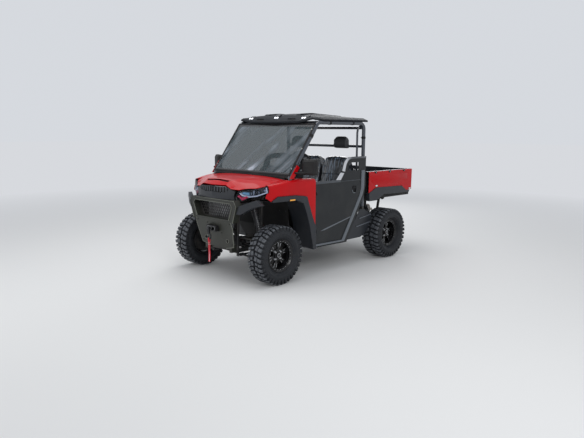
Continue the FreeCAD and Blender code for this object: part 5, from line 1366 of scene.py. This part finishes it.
# Cab: a moulded tub for floor, firewall and rear wall, with ribbed mats and two pedals.
# The plinth of the bench is a moulded box that stands on the floor.
dress("cab_floor", black_moulding, 2.0)
dress("seat_base", black_moulding, 6.0)
bm = bmesh.new()
for k in range(26):
    for y0, y1 in ((90, 600), (-600, -60)):
        block(bm, (250 + 14 * k, y0, 374), (257 + 14 * k, y1, 378))
for y0, y1 in ((80, 612), (-612, -50)):
    slab(bm, [(240, y0, 374), (625, y0, 374), (625, y1, 374), (240, y1, 374)], (0, 0, 2.5))
fit("floor_mats", bm, rubber)
bm = bmesh.new()
for y, width in ((330, 54), (440, 84)):
    tip = Vector((668, y, 545))
    slab(bm, [tip + Vector((0, -width / 2, -30)), tip + Vector((0, width / 2, -30)),
              tip + Vector((22, width / 2 - 6, 34)), tip + Vector((22, 6 - width / 2, 34))], (9, 0, -3))
    bent_tube(bm, [tip + Vector((14, 0, 2)), tip + Vector((44, 0, 60)), tip + Vector((60, 0, 150)),
                   tip + Vector((90, 0, 240))], 8, 10)
    for k in range(5):
        point = tip + Vector((4.2 * k - 2, 0, -24 + 12.6 * k))
        rod(bm, point - Vector((0, width / 2 - 8, 0)), point + Vector((0, width / 2 - 8, 0)), 2.6, sides=8)
soften(bm, 1.2, 35, 1)
fit("pedals", bm, cast_iron)


# Dashboard: one grained moulding with a hooded instrument, vents, a row of rocker switches,
# a glove box latch and a grab bar. It closes the cab against the firewall.
dress("dashboard", black_moulding, 4.0)
screen = varied("dark_display", (0.012, 0.016, 0.022), 0.08, 0.05, 0.08, (40.0,),
                {"Coat Weight": 1.0, "Coat Roughness": 0.03})
silver_trim = varied("silver_trim", (0.45, 0.46, 0.48), 0.35, 0.25, 0.25, (90.0,), {"Metallic": 0.9})
face_slope = Matrix.Translation((566, 400, 1208)) @ Matrix.Rotation(math.radians(-97), 4, "Y")
bm = bmesh.new()
paint_new(bm, 1, lathe, [(0.1, 0), (56, 0), (56, 5), (0.1, 5)], "Z", 48)
paint_new(bm, 2, lathe, [(54, -2), (62, -2), (64, 5), (60, 9), (55, 9)], "Z", 48)
for side in (-1, 1):
    for k in range(3):
        paint_new(bm, 2, rod, (-26 + 26 * k, side * 94, -2), (-26 + 26 * k, side * 94, 6), 9, sides=20)
move_all(bm, face_slope)
for y in (600, 200, -90, -600):
    x, z = 561, 1140
    paint_new(bm, 0, lathe, [(36, -14), (42, -14), (44, 4), (40, 7), (36, 4)], "X", 32, (x, y, z))
    for k in range(-2, 3):
        paint_new(bm, 0, block, (x - 6, y - 36, z + 13 * k - 1.5), (x + 6, y + 36, z + 13 * k + 1.5))
for k in range(6):
    paint_new(bm, 0, block, (541, 20 + 27 * k, 1056), (556, 42 + 27 * k, 1094))
for y in (60, 120):
    paint_new(bm, 2, rod, (566, y, 1000), (552, y, 1000), 14, 12, 24)
paint_new(bm, 0, block, (526, -400, 1052), (540, -330, 1068))
soften(bm, 1, 35, 1)
fit("dash_fittings", bm, [black_moulding, screen, silver_trim], steep=35)
bm = bmesh.new()
bent_tube(bm, [(562, -170, 1130), (530, -176, 1140), (520, -196, 1146), (520, -500, 1146),
               (530, -520, 1140), (562, -526, 1130)], 13, 14)
for y in (-172, -524):
    rod(bm, (572, y, 1128), (556, y, 1132), 22, sides=24)
fit("grab_bar", bm, black_moulding, steep=40)


# Steering wheel: foam moulded over a steel ring on three spokes, with a soft cap, turned by
# a column in a plastic shroud.
dress("steering_column", black_moulding, 2.0)
grip_foam = moulded("grip_foam", (0.022, 0.022, 0.024), 0.6, 0.0003, 0.03)
dress("steering_wheel", grip_foam, 2.0)
tilt = Vector((math.cos(math.radians(41)), 0, -math.sin(math.radians(41))))
wheel_place = Matrix.Translation((400, 400, 1370)) @ tilt.to_track_quat("Z", "Y").to_matrix().to_4x4()
bm = bmesh.new()
lathe(bm, [(0.1, -22), (26, -21), (40, -16), (47, -8), (48, 14), (0.1, 14)], "Z", 40)
paint_new(bm, 1, lathe, [(29, -21.5), (33, -20.5), (33, -17), (29, -17)], "Z", 40)
for turn in (0, 90, 180):
    spoke = Matrix.Rotation(math.radians(turn), 4, "Z")
    for out, half in ((70, 16), (112, 13)):
        corners = ((out - 20, -half), (out + 20, 2 - half), (out + 20, half - 2), (out - 20, half))
        slab(bm, [spoke @ Vector((*corner, -7)) for corner in corners], (0, 0, 12))
move_all(bm, wheel_place)
soften(bm, 2, 35, 2)
fit("wheel_pad", bm, [grip_foam, silver_trim], "steering_wheel", steep=45)


# Bench: sprung foam under black vinyl, the driver's place apart from the double one. The
# backs still wear their clear film, which hangs in long crinkles; pale blue patches on them are painted
# reflections of the sky.
vinyl = Finish("seat_vinyl", (0.030, 0.032, 0.037), 0.45)
cells = vinyl.add("ShaderNodeTexVoronoi", None, {"Vector": vinyl.place, "Scale": 260.0})
vinyl.set({"Roughness": 0.38 + 0.2 * vinyl.noise(12.0, 4.0),
           "Base Color": vinyl.mix(vinyl.noise(5.0, 4.0), (0.022, 0.023, 0.026, 1),
                                   (0.045, 0.047, 0.053, 1))})
vinyl.bump(cells, 0.0004)
film = Finish("seat_film", (0.05, 0.056, 0.066), 0.25, {"Coat Weight": 1.0, "Coat Roughness": 0.10})
creases = film.add("ShaderNodeTexNoise", None, {"Vector": film.add("ShaderNodeMapping", None,
                                                                   {"Vector": film.place,
                                                                    "Scale": (11.0, 36.0, 4.5)}),
                                                "Scale": 1.0, "Detail": 5.0, "Distortion": 1.4})
# Painted reflection: pale blue patches along the film's crinkles, in its colour
sheen = film.ramp(creases, 0.50, 0.66) * film.ramp(film.noise(3.2, 3.0), 0.34, 0.58)
film.set({"Base Color": film.mix(0.75 * sheen, (0.034, 0.037, 0.043, 1), (0.36, 0.47, 0.62, 1)),
          "Roughness": 0.16 + 0.3 * film.noise(9.0, 4.0)})
film.bump(creases, 0.006)


def padded_shape(side_line, front_line, y0, y1):
    """A block of foam cut to the seat's side and front outlines, with generous edges."""
    bm = bmesh.new()
    side_plate(bm, side_line, y0, y1)
    middle = (y0 + y1) / 2
    half = (y1 - y0) / 2
    for (v0, z0), (v1, z1) in zip(front_line, front_line[1:]):
        for side in (-1, 1):
            outward = Vector((0, side * abs(z1 - z0), abs(v1 - v0)))
            bmesh.ops.bisect_plane(bm, geom=everything(bm), clear_outer=True,
                                         plane_co=(0, middle + side * (half - v0), z0), plane_no=outward)
            bmesh.ops.holes_fill(bm, edges=[edge for edge in bm.edges if edge.is_boundary], sides=0)
    return bm


# The most that a cushion may swell, and the depth held at its foot and its back, in metres
SWELL, HELD = 0.012, 0.02


def cushion(name, side_line, front_line, y0, y1, node, finish, seams, cell=0.011, wrinkle=0.0):
    """Foam that swells under its cover: remeshed, blown up by cloth simulation, then sewn."""
    bm = padded_shape(side_line, front_line, y0, y1)
    weld(bm, 0.1)
    soften(bm, 24, 20, 3)
    item = fit(name, bm, finish, "chassis", [node], 180)
    remesh = item.modifiers.new("cells", "REMESH")
    remesh.mode = "VOXEL"
    remesh.voxel_size = cell
    bake(item)
    start = [vert.co.copy() for vert in item.data.vertices]
    low = min(point.z for point in start)
    back = min(point.x for point in start)
    pins = item.vertex_groups.new(name="rests")
    pins.add([k for k, point in enumerate(start) if point.z < low + HELD or point.x < back + HELD],
             1.0, "ADD")
    cloth = item.modifiers.new("cloth", "CLOTH")
    cloth.settings.use_pressure = True
    cloth.settings.uniform_pressure_force = 4.0
    cloth.settings.vertex_group_mass = "rests"
    cloth.settings.effector_weights.gravity = 0.0
    cloth.settings.quality = 4
    for step in range(1, 21):
        bpy.context.scene.frame_set(step)
    bake(item)
    bpy.context.scene.frame_set(1)
    for vert, before in zip(item.data.vertices, start):
        move = vert.co - before
        if move.length > SWELL:
            vert.co = before + move * (SWELL / move.length)
    normals = [vert.normal.copy() for vert in item.data.vertices]
    for vert, normal in zip(item.data.vertices, normals):
        x, y, z = vert.co
        depth = 0.0
        for kind, place, width, deep in seams:
            away = {"y": y, "z": z, "x": x}[kind] - place / 1000
            depth += deep * math.exp(-(away / width) ** 2)
        free = min(1.0, max(0.0, (z - low - 0.03) / 0.05))
        free *= min(1.0, max(0.0, (x - back - 0.03) / 0.05))
        folds = 0.0
        if wrinkle:
            large = noise.noise(Vector((x * 7, y * 24, z * 4.5)))
            small = noise.noise(Vector((x * 17, y * 52, z * 12)))
            folds = wrinkle * (large + 0.5 * small)
        vert.co += normal * free * (folds - depth)
    soft = item.modifiers.new("soft", "SUBSURF")
    soft.levels = soft.render_levels = 1
    for face in item.data.polygons:
        face.use_smooth = True
    return item


def bake(item):
    """Applies the piece's modifiers to its mesh."""
    graph = bpy.context.evaluated_depsgraph_get()
    mesh = bpy.data.meshes.new_from_object(item.evaluated_get(graph))
    item.modifiers.clear()
    item.data = mesh


seat_line = [(-212, 702), (222, 702), (242, 732), (246, 772), (230, 802), (196, 813), (0, 793), (-206, 784)]
back_line = [(-333, 703), (-224, 703), (-116, 782), (-106, 850), (-156, 1100), (-200, 1328), (-219, 1402),
             (-247, 1433), (-290, 1433), (-316, 1396), (-333, 1298)]
seat_front = [(0, 786), (22, 816)]
back_front = [(0, 1298), (38, 1404), (88, 1434)]
for name, y0, y1 in (("driver", 174, 618), ("double", -618, 154)):
    middle = (y0 + y1) / 2
    seams = [("y", y0 + 95, 0.006, 0.008), ("y", y1 - 95, 0.006, 0.008), ("x", 60, 0.006, 0.006)]
    tall = [("y", y0 + 90, 0.006, 0.008), ("y", y1 - 90, 0.006, 0.008), ("z", 1180, 0.006, 0.007)]
    if name == "double":
        seams.append(("y", middle, 0.007, 0.010))
        tall.append(("y", middle, 0.007, 0.010))
    cushion(f"seat_cushion_{name}", seat_line, seat_front, y0, y1, "seat_cushions", vinyl, seams,
            wrinkle=0.0012)
    cushion(f"seat_back_{name}", back_line, back_front, y0, y1, "seat_backs", film, tall,
            wrinkle=0.0055)

# Headrests: small vinyl pads on black brackets from the cage's bar
rest_line = [(-378, 1533), (-350, 1531), (-301, 1541), (-292, 1580), (-296, 1649), (-315, 1687),
             (-349, 1691), (-372, 1668), (-372, 1600)]
rest_front = [(0, 1642), (36, 1692)]
for name, y in (("driver", 400), ("passenger", -400)):
    cushion(f"headrest_{name}", rest_line, rest_front, y - 106, y + 106, "headrests", vinyl,
            [("z", 1612, 0.004, 0.004)], 0.008)
bm = bmesh.new()
for y in (400, -400):
    block(bm, (-411, y - 30, 1552), (-355, y + 30, 1568))
    for side in (-1, 1):
        rod(bm, (-430, y + 20 * side, 1560), (-430, y + 24 * side, 1560), 23, sides=28)
soften(bm, 1.5, 35, 1)
fit("headrest_brackets", bm, black_moulding, "chassis", ["headrests"])


# Cargo bed: a ribbed tub of black plastic on steel rails, with a grey metal rail on top,
# red outer panels, charcoal flares, and tail lamps. It tips about a pivot tube at the rear.
dress("bed_tub", black_moulding, 2.0)
dress("bed_sides", red_paint, 2.5)
rail_metal = Finish("rail_metal", (0.40, 0.42, 0.45), 0.35, {"Metallic": 0.8})
rail_metal.set({"Roughness": 0.28 + 0.25 * rail_metal.noise(40.0, 4.0, (0.1, 1.0, 1.0)),
                "Base Color": rail_metal.mix(rail_metal.noise(6.0, 4.0), (0.30, 0.315, 0.33, 1),
                                             (0.52, 0.54, 0.57, 1))})
bm = bmesh.new()
block(bm, (-1558, 702, 1214), (-517, 727, 1222))
on_both_sides(bm)
block(bm, (-549, -701, 1214), (-524, 701, 1222))
soften(bm, 2.5, 30, 2)
fit("bed_rails", bm, rail_metal, "bed")

# Tie-down pockets in the side panels' top edge, with a small white pin and a black bar in
# each; white reflectors at both ends of the panels
reflector = Finish("white_reflector", (0.82, 0.84, 0.86), 0.15,
                   {"Coat Weight": 1.0, "Coat Roughness": 0.03})
prisms = reflector.add("ShaderNodeTexVoronoi", None, {"Vector": reflector.place, "Scale": 600.0})
reflector.set({"Roughness": 0.1 + 0.2 * prisms})
reflector.bump(prisms, 0.0003)
bm = bmesh.new()
for x in (-666, -997, -1352):
    side_plate(bm, [(x - 30, 1217), (x - 30, 1195), (x + 30, 1195), (x + 30, 1217)], 737, 740)
    paint_new(bm, 1, rod, (x - 12, 738, 1201), (x - 12, 748, 1201), 4.2, sides=16)
    paint_new(bm, 0, side_plate, [(x - 8, 1216), (x + 4, 1216), (x + 10, 1192), (x - 2, 1192)], 740, 749)
for x, z in ((-690, 1022), (-1516, 935)):
    paint_new(bm, 0, side_plate, [(x - 26, z - 12), (x + 26, z - 12), (x + 30, z + 12), (x - 22, z + 12)],
              746, 748.5)
    paint_new(bm, 1, side_plate, [(x - 21, z - 9), (x + 22, z - 9), (x + 25, z + 9), (x - 18, z + 9)], 748,
              750)
soften(bm, 0.8, 35, 1)
on_both_sides(bm)
fit("bed_side_fittings", bm, [black_moulding, reflector], "bed")

# Raised field in the side panels
bm = bmesh.new()
line = [(-545, 1164), (-545, 1100), (-640, 1040), (-1240, 1032), (-1330, 1078), (-1440, 1082),
        (-1440, 1164)]
side_plate(bm, line, 746, 748.4)
soften(bm, 2.2, 35, 3)
on_both_sides(bm)
fit("bed_side_fields", bm, red_paint, "bed")

# Tail lamps: ribbed red lenses with two black bars and a clear reversing light below
tail_lens = Finish("tail_lens", (0.50, 0.010, 0.014), 0.10, {"Coat Weight": 1.0, "Coat Roughness": 0.03,
                                                           "Emission Strength": 0.12})
ribs = tail_lens.add("ShaderNodeTexWave", {"wave_type": "BANDS", "bands_direction": "Z"},
                     {"Vector": tail_lens.place, "Scale": 40.0})
tail_lens.set({"Emission Color": tail_lens.mix(ribs, (0.5, 0.0, 0.0, 1), (0.9, 0.04, 0.03, 1)),
               "Roughness": 0.08 + 0.15 * ribs})
tail_lens.bump(ribs, 0.0006)
dress("tail_lamps", tail_lens, 2.0)
bm = bmesh.new()
for z0, z1 in ((1058, 1066), (1108, 1116)):
    block(bm, (-1575.5, 668, z0), (-1560, 733, z1))
paint_new(bm, 1, block, (-1575.2, 672, 1026), (-1561, 730, 1056))
soften(bm, 1.2, 30, 2)
on_both_sides(bm)
fit("tail_lamp_trim", bm, [black_moulding, reflector], "bed")


# Tailgate: a thick black panel with two pressed fields and a latch pull in the middle. It
# swings down about pins in the tub's ears.
dress("tailgate", roof_plastic, 3.0)
bm = bmesh.new()
slab(bm, [(-1589, -48, 1160), (-1589, 48, 1160), (-1589, 44, 1192), (-1589, -44, 1192)], (6, 0, 0))
slab(bm, [(-1592, -40, 1176), (-1592, 40, 1176), (-1592, 36, 1188), (-1592, -36, 1188)], (5, 0, 0))
for side in (-1, 1):
    for k in range(4):
        y = side * (190 + 110 * k)
        block(bm, (-1586, y - 16, 930), (-1582, y + 16, 1140))
    rod(bm, (-1563, side * 640, 1180), (-1568, side * 640, 1180), 9, sides=20)
soften(bm, 1.6, 35, 2)
fit("tailgate_fittings", bm, black_moulding, "tailgate")

# Bolts through the bed's floor
bm = bmesh.new()
for x in (-640, -900, -1160, -1420):
    for k in (-5, -2, 2, 5):
        rod(bm, (x, k * 84.5, 842), (x, k * 84.5, 846.5), 11, 9, 24)
soften(bm, 0.8, 35, 1)
fit("bed_bolts", bm, zinc, "bed", steep=35)


# The visual model's box, from everything shown but the floor
low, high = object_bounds()
